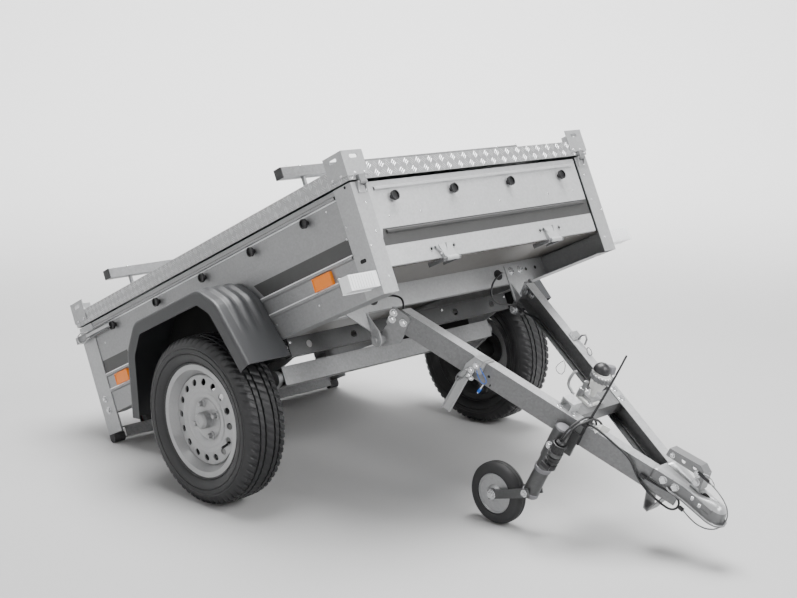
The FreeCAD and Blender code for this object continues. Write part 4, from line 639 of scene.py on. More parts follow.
FINISHES = {
    finish.name: finish
    for finish in (
        Zinc("panel", 0.27, 0.44, 0.5, grain=0.08, stripe=True),
        Zinc("front", 0.44, 0.44, 0.4, grain=0.03, stripe=True),
        Zinc("post", 0.36, 0.42, 0.5),
        # edge: near-white zinc for the bead ridges, a painted highlight.
        Zinc("edge", 0.80, 0.36, 0.4, clouds=0.06, crystals=0.01),
        Zinc("frame", 0.23, clouds=0.16, crystals=0.09),
        Zinc("handle", 0.19, 0.34, 0.5, clouds=0.08, crystals=0.02, place=BAR),
        # Painted shade: the board hinges take a darker copy of the zinc.
        Zinc("painted_shade_hinge", 0.17, 0.46, 0.5),
        # Painted shade: the middle cross-member under the box takes a darker copy of the frame's zinc.
        Zinc("painted_shade_frame", 0.07, 0.5, clouds=0.2),
        # Painted highlight on the beams' top flange: the grey is multiplied above the level top.
        Zinc("beam", 0.17, 0.42, 0.45, clouds=0.12, crystals=0.10, place=BAR, top=0.1255, highlight_gain=3.0),
        Zinc("bright", 0.34, 0.34, crystals=0.02, place=BAR),
        Zinc("bright_box", 0.40, 0.34, clouds=0.08, crystals=0.02),
        Zinc("bolt", 0.6, 0.26, 0.8, crystals=0.02),
        Zinc("tread", 0.35, 0.36, clouds=0.12, crystals=0.03),
        # Painted highlight: the lid's raised bars take a lighter copy of the tread plate's zinc.
        Zinc("tread_bar_highlight", 0.62, 0.32, clouds=0.08, crystals=0.02),
        # Painted highlight on the coupling's top: the grey is multiplied above the level top.
        Zinc("pressed", 0.15, 0.32, 0.5, clouds=0.06, crystals=0.01, place=BAR, top=0.1305, highlight_gain=2.6),
        Zinc("jockey_zinc", 0.36, 0.36, 0.7, clouds=0.12, place=BAR),
        Zinc("zinc_leg", 0.085, 0.4, place=BAR),
        Zinc("wire", 0.20, 0.35, place=BAR),
        Plain("rubber", (0.018, 0.018, 0.019), 0.62, 220.0, 0.0003),
        Plain("tyre", (0.010, 0.010, 0.011), 0.50, 260.0, 0.0004, 0.35),
        Plain("guard", (0.028, 0.029, 0.031), 0.46, 900.0, 0.0003, 0.12),
        Plain("black", (0.009, 0.009, 0.010), 0.42, 500.0),
        Plain("cable", (0.011, 0.011, 0.012), 0.5, 700.0),
        Plain("floor", (0.115, 0.108, 0.100), 0.4, 90.0, 0.0003),
        Plain("lamp", (0.80, 0.81, 0.82), 0.25, cloud=0.04, coat=0.6),
        Plain("red_lamp", (0.55, 0.02, 0.02), 0.2, depth=0.0002, cloud=0.1, coat=0.8),
        Plain("amber", (0.80, 0.20, 0.0), 0.4, 240.0, 0.0006, 0.08, 0.1),
        Plain("white", (0.82, 0.82, 0.80), 0.4, cloud=0.04),
        Plain("enamel", (0.74, 0.74, 0.72), 0.3, 200.0, cloud=0.05, coat=0.4),
        Plain("blue", (0.004, 0.10, 0.46), 0.6, 600.0, 0.0002, 0.2),
        Plain("grey", (0.16, 0.16, 0.17), 0.45, depth=0.0002, cloud=0.15, metal=0.3),
        # Painted shade: near black, for the insides of holes, the coupling's window and the arch behind each
        # mudguard.
        Plain("painted_shade_black", (0.004, 0.004, 0.004), 0.9, 100.0, 0.0, 0.1),
        Rim("rim", 0.30, 0.6695),
        Rim("hub", 0.27, 0.668),
        RearLamp("rear_lamp"),
        Ground("ground"),
    )
}


@cache
def material(name: str) -> bpy.types.Material:
    """The finish of that name, made when it is first asked for."""
    return FINISHES[name].material()


@dataclass(frozen=True)
class Mount:
    """A frame, and the body that whatever is made in it rides on.

    Bolts, rivets and holes are gathered by mount and kind until `join` makes them.
    """

    place: Place
    body: Body
    gathered: ClassVar[dict[tuple[Mount, str], list[Form]]] = {}

    def add(
        self,
        form: Form,
        name: str,
        finish: str,
        slot: str,
        replaces: tuple[str, ...] = (),
        bevel: float = 0.0,
        smooth: float = 40.0,
    ) -> bpy.types.Object:
        """Build a form, give it its finish and let it ride.

        Args:
            form: The points and faces, in this frame.
            name: The piece's name.
            finish: The name of its finish.
            slot: The record's material slot; not used.
            replaces: CAD nodes that it stands for.
            bevel: Width in metres of a bevel on its edges.
            smooth: Edges flatter than this angle in degrees are shaded smooth.

        Returns:
            The object.
        """
        obj = form.shaped(self.place.world).build(name, smooth)
        obj.data.materials.append(material(finish))
        if bevel:
            rounding = obj.modifiers.new("bevel", "BEVEL")
            rounding.width = bevel
            rounding.segments = 2
            rounding.limit_method = "ANGLE"
            rounding.angle_limit = math.radians(50.0)
        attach(obj, self.body.value)
        if replaces:
            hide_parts(*replaces)
        log.info("%s: %d points, rides on %s", name, len(form.points), self.body.value)
        return obj

    def gather(self, kind: str, form: Form, facing: Spot, spots: tuple[Spot, ...]) -> None:
        """Keep a copy of a form for each spot."""
        self.gathered.setdefault((self, kind), []).extend(form.stood(spot, facing) for spot in spots)

    def bolt(self, facing: Spot, size: float, height: float, *spots: Spot, sides: int = 6) -> None:
        """Headed bolts on washers.

        Args:
            facing: The way that the heads point.
            size: Across a head's corners, halved.
            height: Of a head over the sheet.
            spots: Middles of the washers' undersides.
            sides: Six for a nut or hexagon head, four for a square one.
        """
        wide = size * (1.45 if sides == 6 else 1.12)
        washer = Form.turned([(wide, 0), (wide, 1.2), (wide - 0.8, 1.8), (0, 1.8)], 16)
        head = [(size, 1.2), (size, height - size * 0.18), (size * 0.86, height), (0, height)]
        self.gather("bolts", washer + Form.turned(head, sides), facing, spots)

    def rivet(self, facing: Spot, size: float, height: float, *spots: Spot) -> None:
        """Low domed heads, whose radius and height follow a quarter circle.

        Args:
            facing: The way that the heads point.
            size: A head's radius.
            height: Of its dome.
            spots: Middles of the heads' undersides.
        """
        turn = np.linspace(0.0, math.pi / 2, 5)
        dome = np.c_[size * np.cos(turn), height * np.sin(turn) + 0.4]
        dome[-1, 0] = 0.0
        self.gather("rivets", Form.turned(np.r_[[(size, 0.0)], dome], 12), facing, spots)

    def hole(self, facing: Spot, size: float, *spots: Spot, length: float = 0.0) -> None:
        """Drilled holes, drawn as near-black discs or slots that lie on the sheet: painted shade of their
        insides.

        Args:
            facing: The way that the sheet faces.
            size: A hole's radius.
            spots: Their middles.
            length: Half the straight of a slot along the sheet.
        """
        turn = turns(16)
        outline = np.c_[size * np.cos(turn) + length * np.sign(np.cos(turn + 0.001)), size * np.sin(turn)]
        self.gather("holes", Form.prism(outline, 0.0, 0.35), facing, spots)

    @classmethod
    def join(cls) -> None:
        """Make one piece of each body's fasteners of a kind, with the angle in degrees of its edges."""
        looks = {
            "bolts": ("bolt", "zinc", 25.0),
            "rivets": ("bolt", "zinc", 60.0),
            "holes": ("painted_shade_black", "black_plastic", 30.0),
        }
        for (mount, kind), forms in cls.gathered.items():
            finish, slot, smooth = looks[kind]
            mount.add(sum(forms, Form()), f"{mount.body.value}_{kind}", finish, slot, smooth=smooth)


ON_BOX = Mount(BOX, Body.BOX)
ON_LID = Mount(BOX, Body.LID)
ON_BAR = Mount(BAR, Body.DRAWBAR)


@dataclass
class Camera:
    """The photograph's camera, from its measured place and angles."""

    place: Spot = (3.07203, -3.211, 1.500)
    yaw: float = math.radians(44.54)
    pitch: float = math.radians(11.68)
    roll: float = math.radians(-0.30)
    focal: float = 1375.0
    centre: tuple[float, float] = (394.53, 301.43)
    sensor: float = 36.0

    def build(self) -> None:
        """Make the camera, whose shift is the photograph's own off-centre crop."""
        level = math.cos(self.pitch)
        ahead = np.array([-math.sin(self.yaw) * level, math.cos(self.yaw) * level, -math.sin(self.pitch)])
        right = np.array([math.cos(self.yaw), math.sin(self.yaw), 0.0])
        down = np.cross(ahead, right)
        cosine, sine = math.cos(self.roll), math.sin(self.roll)
        right, down = cosine * right + sine * down, -sine * right + cosine * down
        wide, high = PHOTO_SIZE
        lens = bpy.data.cameras.new("camera")
        lens.sensor_width = self.sensor
        lens.lens = self.focal * self.sensor / wide
        lens.shift_x = (wide / 2 - self.centre[0]) / wide
        lens.shift_y = (self.centre[1] - high / 2) / wide
        lens.clip_end = 60.0
        camera = bpy.data.objects.new("camera", lens)
        camera.matrix_world = facing_frame(right, -down, -ahead, self.place)
        bpy.context.collection.objects.link(camera)
        bpy.context.scene.camera = camera


@dataclass
class Studio:
    """A pale floor that curves up into a wall, an even sky and four soft boxes."""

    sky: float = 0.36
    sweep: tuple[tuple[float, float], ...] = (
        (0, 0), (5.2, 0), (6.6, 0.12), (7.8, 0.6), (8.7, 1.5), (9.2, 2.8), (9.4, 4.6), (9.4, 7.0)
    )
    under: float = 0.001

    def build(self) -> None:
        """Make the world, the floor and the lights."""
        world = bpy.data.worlds.new("studio")
        bpy.context.scene.world = world
        world.use_nodes = True
        backdrop = world.node_tree.nodes["Background"]
        backdrop.inputs[0].default_value = (1.0, 1.0, 1.0, 1.0)
        backdrop.inputs[1].default_value = self.sky
        floor = Form.turned(np.array(self.sweep) - (0.0, self.under), 96).build("studio_floor")
        floor.data.materials.append(material("ground"))
        floor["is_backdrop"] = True
        self._soft_box("key", (4.4, 0.4, 3.4), (0.0, 0.0, 0.4), 2.0, 260.0)
        self._soft_box("fill", (-0.5, -5.0, 2.2), (0.0, 0.0, 0.4), 3.0, 22.0)
        self._soft_box("top", (-0.3, 0.3, 5.2), (0.0, 0.1, 0.0), 3.2, 780.0)
        self._soft_box("wall", (-2.6, 2.9, 5.6), (-6.6, 6.6, 1.2), 4.0, 700.0)

    @staticmethod
    def _soft_box(name: str, spot: Spot, aim: Spot, size: float, power: float) -> None:
        """Stand a square area light, so wide in metres and so strong in watts, that faces a point."""
        lamp = bpy.data.lights.new(name, "AREA")
        lamp.size = size
        lamp.energy = power
        obj = bpy.data.objects.new(name, lamp)
        away = unit(np.subtract(spot, aim))
        side = unit(np.cross(UP, away))
        obj.matrix_world = facing_frame(side, np.cross(away, side), away, spot)
        bpy.context.collection.objects.link(obj)


@dataclass(frozen=True)
class Beams:
    """The drawbar's two beams, which run together from their hinges to the coupling."""

    spread: float = 319.4
    angle: float = math.radians(17.01)

    def spot(self, side: int, along: float, inset: float, up: float) -> Spot:
        """A point beside a beam, inset from the beam's outer face."""
        across = self.spread - along * math.tan(self.angle) - inset / math.cos(self.angle)
        return along, side * across, up

    def line(self, side: int, spots: Sequence[Spot]) -> np.ndarray:
        """Points beside a beam in the world, each given as (along, inset, up)."""
        return BAR.world([self.spot(side, *spot) for spot in spots])

    def outward(self, side: int) -> Spot:
        """Square to a beam's outside: (sin a, side cos a, 0), where a is the beam's angle."""
        return math.sin(self.angle), side * math.cos(self.angle), 0.0


BEAMS = Beams()


class Stiffness(Enum):
    """How readily a cord bends."""

    LIMP = "limp"
    MEDIUM = "medium"
    STIFF = "stiff"


@dataclass(frozen=True)
class Kind:
    """What a cord is made of, how thick it is in millimetres and where it ends."""

    stiffness: Stiffness = Stiffness.MEDIUM
    far_end: str = "object"
    thick: float = 6.6
    finish: str = "cable"
    slot: str = "cable"


@dataclass
class Cords:
    """Leads, the coated safety cable and its steel rope, and the lanyard of a pin."""

    kinds: ClassVar[dict[str, Kind]] = {
        "lead_left_loop": Kind(Stiffness.LIMP),
        "lead_right_loop": Kind(Stiffness.LIMP),
        "plug_lead_rear": Kind(far_end="plug"),
        "plug_lead_front": Kind(far_end="plug"),
        "safety_rope": Kind(Stiffness.STIFF, thick=4.0, finish="wire", slot="wire"),
        "pin_lanyard": Kind(Stiffness.LIMP, thick=2.4, finish="blue", slot="lanyard"),
    }

    @staticmethod
    def routes() -> dict[str, np.ndarray]:
        """The points of each cord's line, named for the solid that it stands for."""
        gland = BEAMS.spot(-1, 34, 21, 0)[1]
        routes = {
            "lead_left_loop": np.r_[
                BOX.world([
                    (481, 297, 197), (503, 293, 198), (519, 268, 195), (525, 236, 185), (523, 207, 166),
                    (519, 190, 140), (518, 189, 114), (525, 202, 94), (536, 226, 87),
                ]),
                BAR.world([(34, 252, 50), (59.7, 252, 50)]),
            ],
            "lead_right_loop": np.r_[
                BOX.world([(481, -297, 197)]),
                BAR.world([
                    (-88, -291, 92), (-68, -270, 108), (-42, -256, 117), (-15, -266, 114), (9, gland, 104),
                    (33.7, gland, 104),
                ]),
            ],
            "lead_left": np.r_[
                BAR.world([(72, 252, 50), (95, 248, 56), (119, 244, 66)]),
                BEAMS.line(1, [(148, 24, 69), (776, 19, 65), (806, 20, 67)]),
                BAR.world([(832, 35, 72), (845, 10, 76), (842, -19, 76), (822, -41, 73)]),
                BEAMS.line(-1, [(792, 21, 70), (758, 17, 68), (722, 17, 69), (690, 18, 70)]),
            ],
            "lead_right": BEAMS.line(-1, [
                (46, 21, 104), (110, 20, 103), (190, 19, 94), (275, 18, 84), (360, 18, 76), (445, 18, 70),
                (525, 18, 67), (590, 18, 68), (640, 18, 70),
            ]),
            "safety_cable": np.r_[
                BEAMS.line(-1, [(650, -6, 138)]),
                BAR.world([
                    (676, -121, 141), (706, -111, 136), (738, -101.5, 129), (770, -91, 123),
                    (800, -81.5, 110), (826, -73, 84), (852, -65, 65), (880, -56.5, 53), (908, -47.5, 46),
                    (932, -40.5, 43), (953, -35, 43.5), (967, -31.5, 57.5), (967, -31.5, 77.5),
                    (953, -35, 91.5), (932, -41.5, 92.5), (906, -50, 90), (880, -57.5, 89),
                ]),
                BEAMS.line(-1, [(855, -6, 88)]),
            ],
            "safety_rope": BAR.world([
                (986, -32, 69), (1011, -28, 61), (1039, -22, 57), (1066, -15, 63), (1087, -9, 80),
                (1097, -6, 105), (1096, -6, 131), (1084, -9, 154), (1062, -13, 171), (1035, -17, 182),
                (1004, -19, 188),
            ]),
            "pin_lanyard": BEAMS.line(-1, [
                (303, -8, 90), (310, -13, 86), (318, -15, 79), (326.5, -15, 72.5), (335, -15, 67),
                (343, -15, 68), (346.5, -15, 75), (343.5, -15, 83), (336, -15, 90.5), (327, -15, 97),
                (317, -13, 101.5), (309, -8, 104),
            ]),
        }
        plug = 639.0
        plug_leads = (("plug_lead_rear", -5.5, 652.0, 0.0), ("plug_lead_front", 5.5, 670.0, 5.0))
        for name, shift, start, rise in plug_leads:
            along = (2 * plug + start) / 3 + shift
            routes[name] = np.r_[
                BEAMS.line(-1, [(start, 45, 80), (start, 46, 103), (start - 1, 40, 126 + rise)]),
                BAR.world([
                    ((plug + start) / 2 + shift / 2 + 2, -97, 147 + rise), (along, -123, 154 + rise),
                    (along - 1, -151, 151 + rise), (plug + 1 + shift, -177, 137 + rise),
                    (plug + shift, -199, 113 + rise), (plug + shift, -204, 84),
                ]),
            ]
        return routes

    @staticmethod
    def spline(name: str, points: np.ndarray, bevel: float) -> bpy.types.Object:
        """A smooth line of order three with the route's points as its control points."""
        curve = bpy.data.curves.new(name, "CURVE")
        curve.dimensions = "3D"
        line = curve.splines.new("NURBS")
        line.points.add(len(points) - 1)
        line.points.foreach_set("co", np.c_[points, np.ones(len(points))].ravel())
        line.order_u = 3
        line.use_endpoint_u = True
        line.resolution_u = 10
        curve.resolution_u = 10
        curve.bevel_depth = bevel
        curve.bevel_resolution = 4
        curve.use_fill_caps = True
        return bpy.data.objects.new(name, curve)

    @staticmethod
    def read(line: bpy.types.Object) -> np.ndarray:
        """The points of a line that has no bevel."""
        mesh = bpy.data.meshes.new_from_object(line)
        points = np.empty(len(mesh.vertices) * 3)
        mesh.vertices.foreach_get("co", points)
        bpy.data.meshes.remove(mesh)
        return points.reshape(-1, 3)

    def build(self, plug: bpy.types.Object) -> None:
        """Make every cord.

        Args:
            plug: The plug in its holder, at the end of both plug leads; not used.
        """
        for name, points in self.routes().items():
            kind = self.kinds.get(name, Kind())
            thick = kind.thick * MM
            path = self.read(self.spline(name + "_line", points, 0.0))
            length = float(travelled(path)[-1])
            loop = name.endswith("_loop")
            meshed = loop or kind.stiffness is Stiffness.STIFF
            if meshed:
                form = Form.tube(path, thick / 2) if loop else self.laid(path, thick)
                obj = form.build(name + "_cord", 60.0)
            else:
                obj = self.spline(name + "_cord", points, thick / 2)
                bpy.context.collection.objects.link(obj)
            obj.data.materials.append(material(kind.finish))
            start, end = points[0].tolist(), points[-1].tolist()
            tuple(start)
            if loop:
                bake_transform(obj)
                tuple(start)
                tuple(end)
            else:
                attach(obj, "drawbar")
            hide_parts(name)
            log.info("%s: %.3f m long", name, length)

    @staticmethod
    def laid(path: np.ndarray, thick: float, strands: int = 6, lay: float = 0.028) -> Form:
        """A rope of strands.

        Strand k runs at a third of the rope's width from its line, turned about it by
        2 pi (s / lay + k / strands), where s is the length so far.

        Args:
            path: The rope's line.
            thick: Its diameter.
            strands: How many strands it has.
            lay: Length of one turn.

        Returns:
            The strands as one form.
        """
        so_far = travelled(path)
        fine = np.linspace(0.0, so_far[-1], 160)
        line = resampled(path, fine, so_far)
        heading = unit(np.gradient(line, axis=0))
        first = unit(np.cross(heading, (0.0, 1.0, 0.0)))
        second = np.cross(heading, first)
        rope = Form()
        for strand in range(strands):
            turn = 2 * math.pi * (fine / lay + strand / strands)[:, None]
            rope += Form.tube(line + (np.cos(turn) * first + np.sin(turn) * second) * thick / 3, thick / 6, 6)
        return rope


@dataclass
class Tyre:
    """A road tyre: ribbed tread with cross cuts, rounded shoulders and ringed walls."""

    radius: float = 267.0
    seat: float = 166.0
    rim_half: float = 57.0
    track: float = 643.0
    pitches: int = 64
    steps: int = 6
    skew: float = 0.0022
    groove: float = 7.0
    sipe: float = 5.0
    ribs: tuple[tuple[int, int], ...] = ((-54, -40), (-35, -20), (-15, 15), (20, 35), (40, 54))
    wall: tuple[Spot, ...] = (
        (-56, 170, 0), (-61, 178, 0), (-64, 184, 0), (-62.5, 186, 0), (-66, 189, 0), (-71, 196, 0),
        (-74.3, 205, 0), (-75.6, 212, 0), (-73.8, 213.5, 0), (-73.8, 216, 0), (-76.6, 218, 0),
        (-77.5, 224, 0), (-77.2, 229, 0), (-75, 231, 0), (-75, 233.5, 0), (-76.2, 235.5, 0),
        (-74, 241, 0), (-70, 248, 0.15), (-65.5, 256, 0.8), (-60.5, 261.5, 1), (-56, 263.8, 1),
    )

    def form(self, side: int) -> Form:
        """The tyre's surface as rows across the section and columns round the wheel.

        The section is (y, r, share of a sipe) with grooves between the ribs; each column
        at turn t stands at (r sin t, y, r cos t). At each pitch's start a narrow sipe cuts
        the ribs and shoulders, slanted by the skew in radians to a millimetre of y.

        Args:
            side: -1 for the right wheel and 1 for the left.

        Returns:
            The closed surface.
        """
        rows = list(self.wall)
        last = len(self.ribs) - 1
        for index, (start, end) in enumerate(self.ribs):
            cut = 0.7 if index in (0, last) else 0.35
            for y, inset in ((start, 0.8), (end, -0.8)):
                rows.append((y + inset, self.radius - 0.001 * y * y, cut))
            if index < last:
                bottom = self.radius - self.groove
                rows += [(end + 0.6, bottom, 0), (self.ribs[index + 1][0] - 0.6, bottom, 0)]
        rows += [(-y, radius, cut) for y, radius, cut in self.wall[::-1]]
        rows += [(y, self.seat + 1, 0) for y in (self.rim_half - 3, 3 - self.rim_half)]
        y, radius, cut = np.array(rows, float).T[..., None]
        columns = self.pitches * self.steps
        radius = radius - cut * np.where(np.arange(columns) % self.steps < 2, self.sipe, 0.0)
        turn = turns(columns) + y * self.skew
        level = np.repeat(y + side * self.track, columns, axis=1)
        grid = np.stack([radius * np.sin(turn), level, radius * np.cos(turn)], axis=-1)
        return Form.sheet(grid, around=True, along=True)

    def build(self) -> None:
        """Make both tyres."""
        for name, side, body in WHEELS:
            Mount(BOX, body).add(self.form(side), f"tyre_{name}_tread", "tyre", "tyre", (f"tyre_{name}",))


@dataclass
class BoxDetails:
    """What is fixed to the box: bolts, rivets, holes, latches, lamp lenses and reflector frames."""

    half: float = 548.0
    front: float = 792.0
    rear: float = 776.0
    sheet: float = 3.0
    bead_ends: tuple[float, float] = (-687.0, 713.0)
    bead_edge: float = 2.4

    def build(self) -> None:
        """Add the details on both sides and on the front."""
        for side in SIDES:
            self._posts(side)
            self._hinge_plate(side)
            self._latch(side)
            self._reflectors(side)
            self._bead_highlights(side)
        self._lamps()
        self._underside()

    def _posts(self, side: int) -> None:
        """Fixings of the posts and of the sheet beside them."""
        out = (0, side, 0)
        leaf = side * self.half
        sheet = side * (self.half - self.sheet)
        ON_BOX.hole(out, 4.5, (765, leaf, 483))
        ON_BOX.rivet(out, 4, 2, (724, leaf, 378), (708, sheet, 347), (-708, sheet, 323), (-690, sheet, 476))
        low_row = ((659, 446), (-640, 402), (512, 205), (-420, 196), (300, 205))
        ON_BOX.rivet(out, 3.6, 1.8, *((along, sheet, up) for along, up in low_row))
        ON_BOX.bolt(out, 9, 8, (-735, leaf, 216), (-731, leaf, 173))
        ON_BOX.hole(out, 4.5, (752, leaf, 214), (726, leaf, 196))
        ON_BOX.hole(out, 6, (750, leaf, 268), length=7)
        corner = ((510, 426), (506, 339), (541, 300), (510, 206))
        ON_BOX.rivet(AHEAD, 4, 2, *((self.front, side * across, up) for across, up in corner))
        ON_BOX.rivet(AHEAD, 3.4, 1.8, *((self.front + 2, side * across, 462) for across in (497, 523)))
        ON_BOX.rivet(BEHIND, 4, 2, *((-self.rear, side * 516, up) for up in (440, 330, 210, 130)))

    @staticmethod
    def _hinge_plate(side: int) -> None:
        """Bolts of a hinge plate and the free holes beside it."""
        ON_BOX.bolt(AHEAD, 9.5, 9, (483, side * 361, 201), (483, side * 410, 201))
        ON_BOX.hole(AHEAD, 6, (478, side * 447, 200), (478, side * 497, 200))
        ON_BOX.bolt((0, -side, 0), 12, 10, (491, side * 306, 71))

    def _latch(self, side: int) -> None:
        """A toggle latch: a lever with pressed edges and a wire bail round the corner."""
        face = side * (self.half + 14)
        outer = face + side * 4
        form = Form.block((-716, face, 456), (-556, outer, 459.5))
        form += Form.block((-716, face, 440.5), (-556, outer, 444))
        lever = [(-716, 459), (-560, 459), (-556, 455), (-556, 446), (-560, 441), (-716, 441)]
        form += Form.slab(lever, min(face, outer), (face + outer) / 2)
        turn = np.linspace(-0.75 * math.pi, 0.75 * math.pi, 24)
        bail = face + side * 5
        loop = np.c_[-740 - 36 * np.cos(turn), np.full(24, bail), 450 + 19 * np.sin(turn)]
        form += Form.tube([(-690, bail, 438), *loop, (-690, bail, 462)], 2.3, 8)
        ON_BOX.add(form, f"latch_{side % 3}", "bright_box", "zinc")

    def _bead_highlights(self, side: int) -> None:
        """A rounded ridge along each pressed bead of a side panel, in near-white zinc: a painted highlight.
        """
        form = Form()
        for out, up in ((545.4, 462.6), (546.8, 297.0), (546.8, 241.0)):
            form += Form.tube([(along, side * out, up) for along in self.bead_ends], self.bead_edge, 8)
        ON_BOX.add(form, f"bead_highlights_{side % 3}", "edge", "galvanised")

    def _reflectors(self, side: int) -> None:
        """A raised frame round each reflector."""
        form = Form()
        bars = ((-42, 42, 17, 20), (-42, 42, -20, -17), (-42, -39, -17, 17), (39, 42, -17, 17))
        for along in (565, -585):
            for x0, x1, z0, z1 in bars:
                inner = (along + x0, side * (self.half + 5), 263 + z0)
                form += Form.block(inner, (along + x1, side * (self.half + 8), 263 + z1))
        ON_BOX.add(form, f"reflector_frames_{side % 3}", "amber", "reflector", bevel=0.0005)

    def _lamps(self) -> None:
        """Backs and ridges of the front lamps, and bezels and lenses of the rear ones."""
        backs, ridges, bezels, lenses = Form(), Form(), Form(), Form()
        for side in SIDES:
            backs += Form.block((742, side * self.half, 182), (749, side * (self.half + 110), 232))
            for step in range(9):
                across = side * (self.half + 18 + step * 10)
                ridges += Form.block((788, across - 3.4, 187), (789.6, across + 3.4, 227))
            bezels += Form.block((-774, side * 292, 110), (-768, side * 408, 184))
            for level in range(116, 182, 11):
                lenses += Form.block((-776.0, side * 298, level), (-773.2, side * 402, level + 9))
        ON_BOX.add(backs, "lamp_backs", "lamp", "lamp_white", bevel=0.002)
        ON_BOX.add(ridges, "lamp_ridges", "lamp", "lamp_white", bevel=0.0006)
        ON_BOX.add(bezels, "rear_lamp_bezels", "black", "black_plastic", bevel=0.001)
        ON_BOX.add(lenses, "rear_lamp_lenses", "red_lamp", "lamp_red", bevel=0.001)

    @staticmethod
    def _underside() -> None:
        """Fixings of the axle's plates and of the middle cross-member."""
        for side in SIDES:
            ON_BOX.bolt((0, side, 0), 8, 7, *((along, side * 486, 138) for along in (140, 205, 248)))
            ON_BOX.rivet(AHEAD, 5, 2.6, (290, side * 508, 145), (290, side * 180, 145))
            ON_BOX.bolt((0, -side, 0), 10, 8, (0, side * 500, 0))


@dataclass
class TreadBars:
    """Raised bars of the lid's tread plate, three to a cell and crossed from cell to cell."""

    half: float = 552.0
    front: float = 796.0
    rear: float = -780.0
    top: float = 546.0
    bottom: float = 495.0
    cell: float = 25.5
    long: float = 21.0
    wide: float = 3.4
    high: float = 1.0
    sunk: float = 0.3
    lane: float = 6.6

    def bars(self, low: tuple[float, float], high: tuple[float, float]) -> Form:
        """Bars over a rectangle, each a low roof over a six-cornered foot.

        A cell's bars run along (1, s) / root 2, where s is 1 or -1 by turns, and stand a
        lane apart. The foot lies a little under the sheet.

        Args:
            low: The rectangle's lowest corner.
            high: Its highest corner.

        Returns:
            The bars as (first, second, out of the sheet).
        """
        size = np.subtract(high, low)
        counts = np.maximum(1, np.round(size / self.cell)).astype(int)
        cell = np.stack(np.meshgrid(*map(np.arange, counts), indexing="ij"), axis=-1).reshape(-1, 1, 1, 2)
        centre = low + (cell + 0.5) * (size / counts)
        sign = np.where(cell.sum(axis=-1) % 2 == 0, 1.0, -1.0)
        along = unit(np.stack([np.ones_like(sign), sign], axis=-1))
        beside = unit(np.stack([-sign, np.ones_like(sign)], axis=-1))
        foot = [(-1, 0, 0), (-0.6, -1, 0), (0.6, -1, 0), (1, 0, 0), (0.6, 1, 0), (-0.6, 1, 0)]
        roof = [*foot, (-0.6, 0, 1), (0.6, 0, 1)]
        corner = np.array(roof) * (self.long / 2, self.wide / 2, self.high + self.sunk)
        lanes = np.array([-self.lane, 0.0, self.lane])[:, None, None]
        flat = centre + beside * (lanes + corner[:, 1:2]) + along * corner[:, :1]
        out = np.broadcast_to(corner[:, 2] - self.sunk, flat.shape[:3])
        points = np.concatenate([flat, out[..., None]], axis=-1).reshape(-1, 3)
        sides = ((0, 1, 6), (1, 2, 7, 6), (2, 3, 7), (3, 4, 7), (4, 5, 6, 7), (5, 0, 6), (5, 4, 3, 2, 1, 0))
        starts = range(0, len(points), len(corner))
        return Form(points, [tuple(start + point for point in side) for start in starts for side in sides])

    def build(self) -> None:
        """Lay bars over the lid's top and its four rims."""
        flat = self.bars((self.rear, -self.half), (self.front, self.half))
        form = flat.shaped(lambda p: p + (0, 0, self.top))
        rim = self.bars((self.rear, self.bottom), (self.front, self.top))
        for side in SIDES:
            form += rim.shaped(lambda p: np.c_[p[:, 0], side * (self.half + p[:, 2]), p[:, 1]])
        rim = self.bars((-self.half, self.bottom), (self.half, self.top))
        for end, face in ((1, self.front), (-1, self.rear)):
            form += rim.shaped(lambda p: np.c_[face + end * p[:, 2], p[:, 0], p[:, 1]])
        # Painted highlight: the bars are a lighter zinc than the lid's plate.
        ON_LID.add(form, "lid_tread_bars", "tread_bar_highlight", "tread_plate")


@dataclass
class LidDetails:
    """Caps, collars and rivets on the lid, its lugs and its crossbars."""

    bar_half: float = 545.0
    bar_up: float = 617.0
    bar_wide: float = 16.6
    bar_at: float = 510.0
    post: float = 455.0
    half: float = 552.0
    top: float = 546.0

    def build(self) -> None:
        """Add the details."""
        caps, feet = Form(), Form()
        collar = [(13, 0), (13, 2), (11, 6), (8.2, 8), (7.4, 8)]
        head = self.bar_up + 16
        wide = self.bar_wide
        for at in (-self.bar_at, self.bar_at):
            for side in SIDES:
                inner = (at - wide, side * (self.bar_half - 2), self.bar_up - wide)
                caps += Form.block(inner, (at + wide, side * (self.bar_half + 4), self.bar_up + wide))
                ON_LID.rivet(UP, 8.5, 7, (at, side * self.post, head))
                ON_LID.rivet(UP, 2.6, 1.2, (at - 26, side * 530, head), (at + 26, side * 530, head))
                feet += Form.turned(collar, 16).stood((at, side * self.post, self.top))
        ON_LID.add(caps, "crossbar_caps", "black", "black_plastic", bevel=0.0015)
        ON_LID.add(feet, "crossbar_collars", "bright_box", "zinc")
        for end, edge in ((-1, -783), (1, 799)):
            for side in SIDES:
                for inset in (28, 66):
                    ON_LID.rivet((end, 0, 0), 4.6, 2.6, (edge, side * (self.half - inset), 514))
                    ON_LID.rivet((0, side, 0), 4.6, 2.6, (edge - end * inset, side * (self.half + 3), 514))


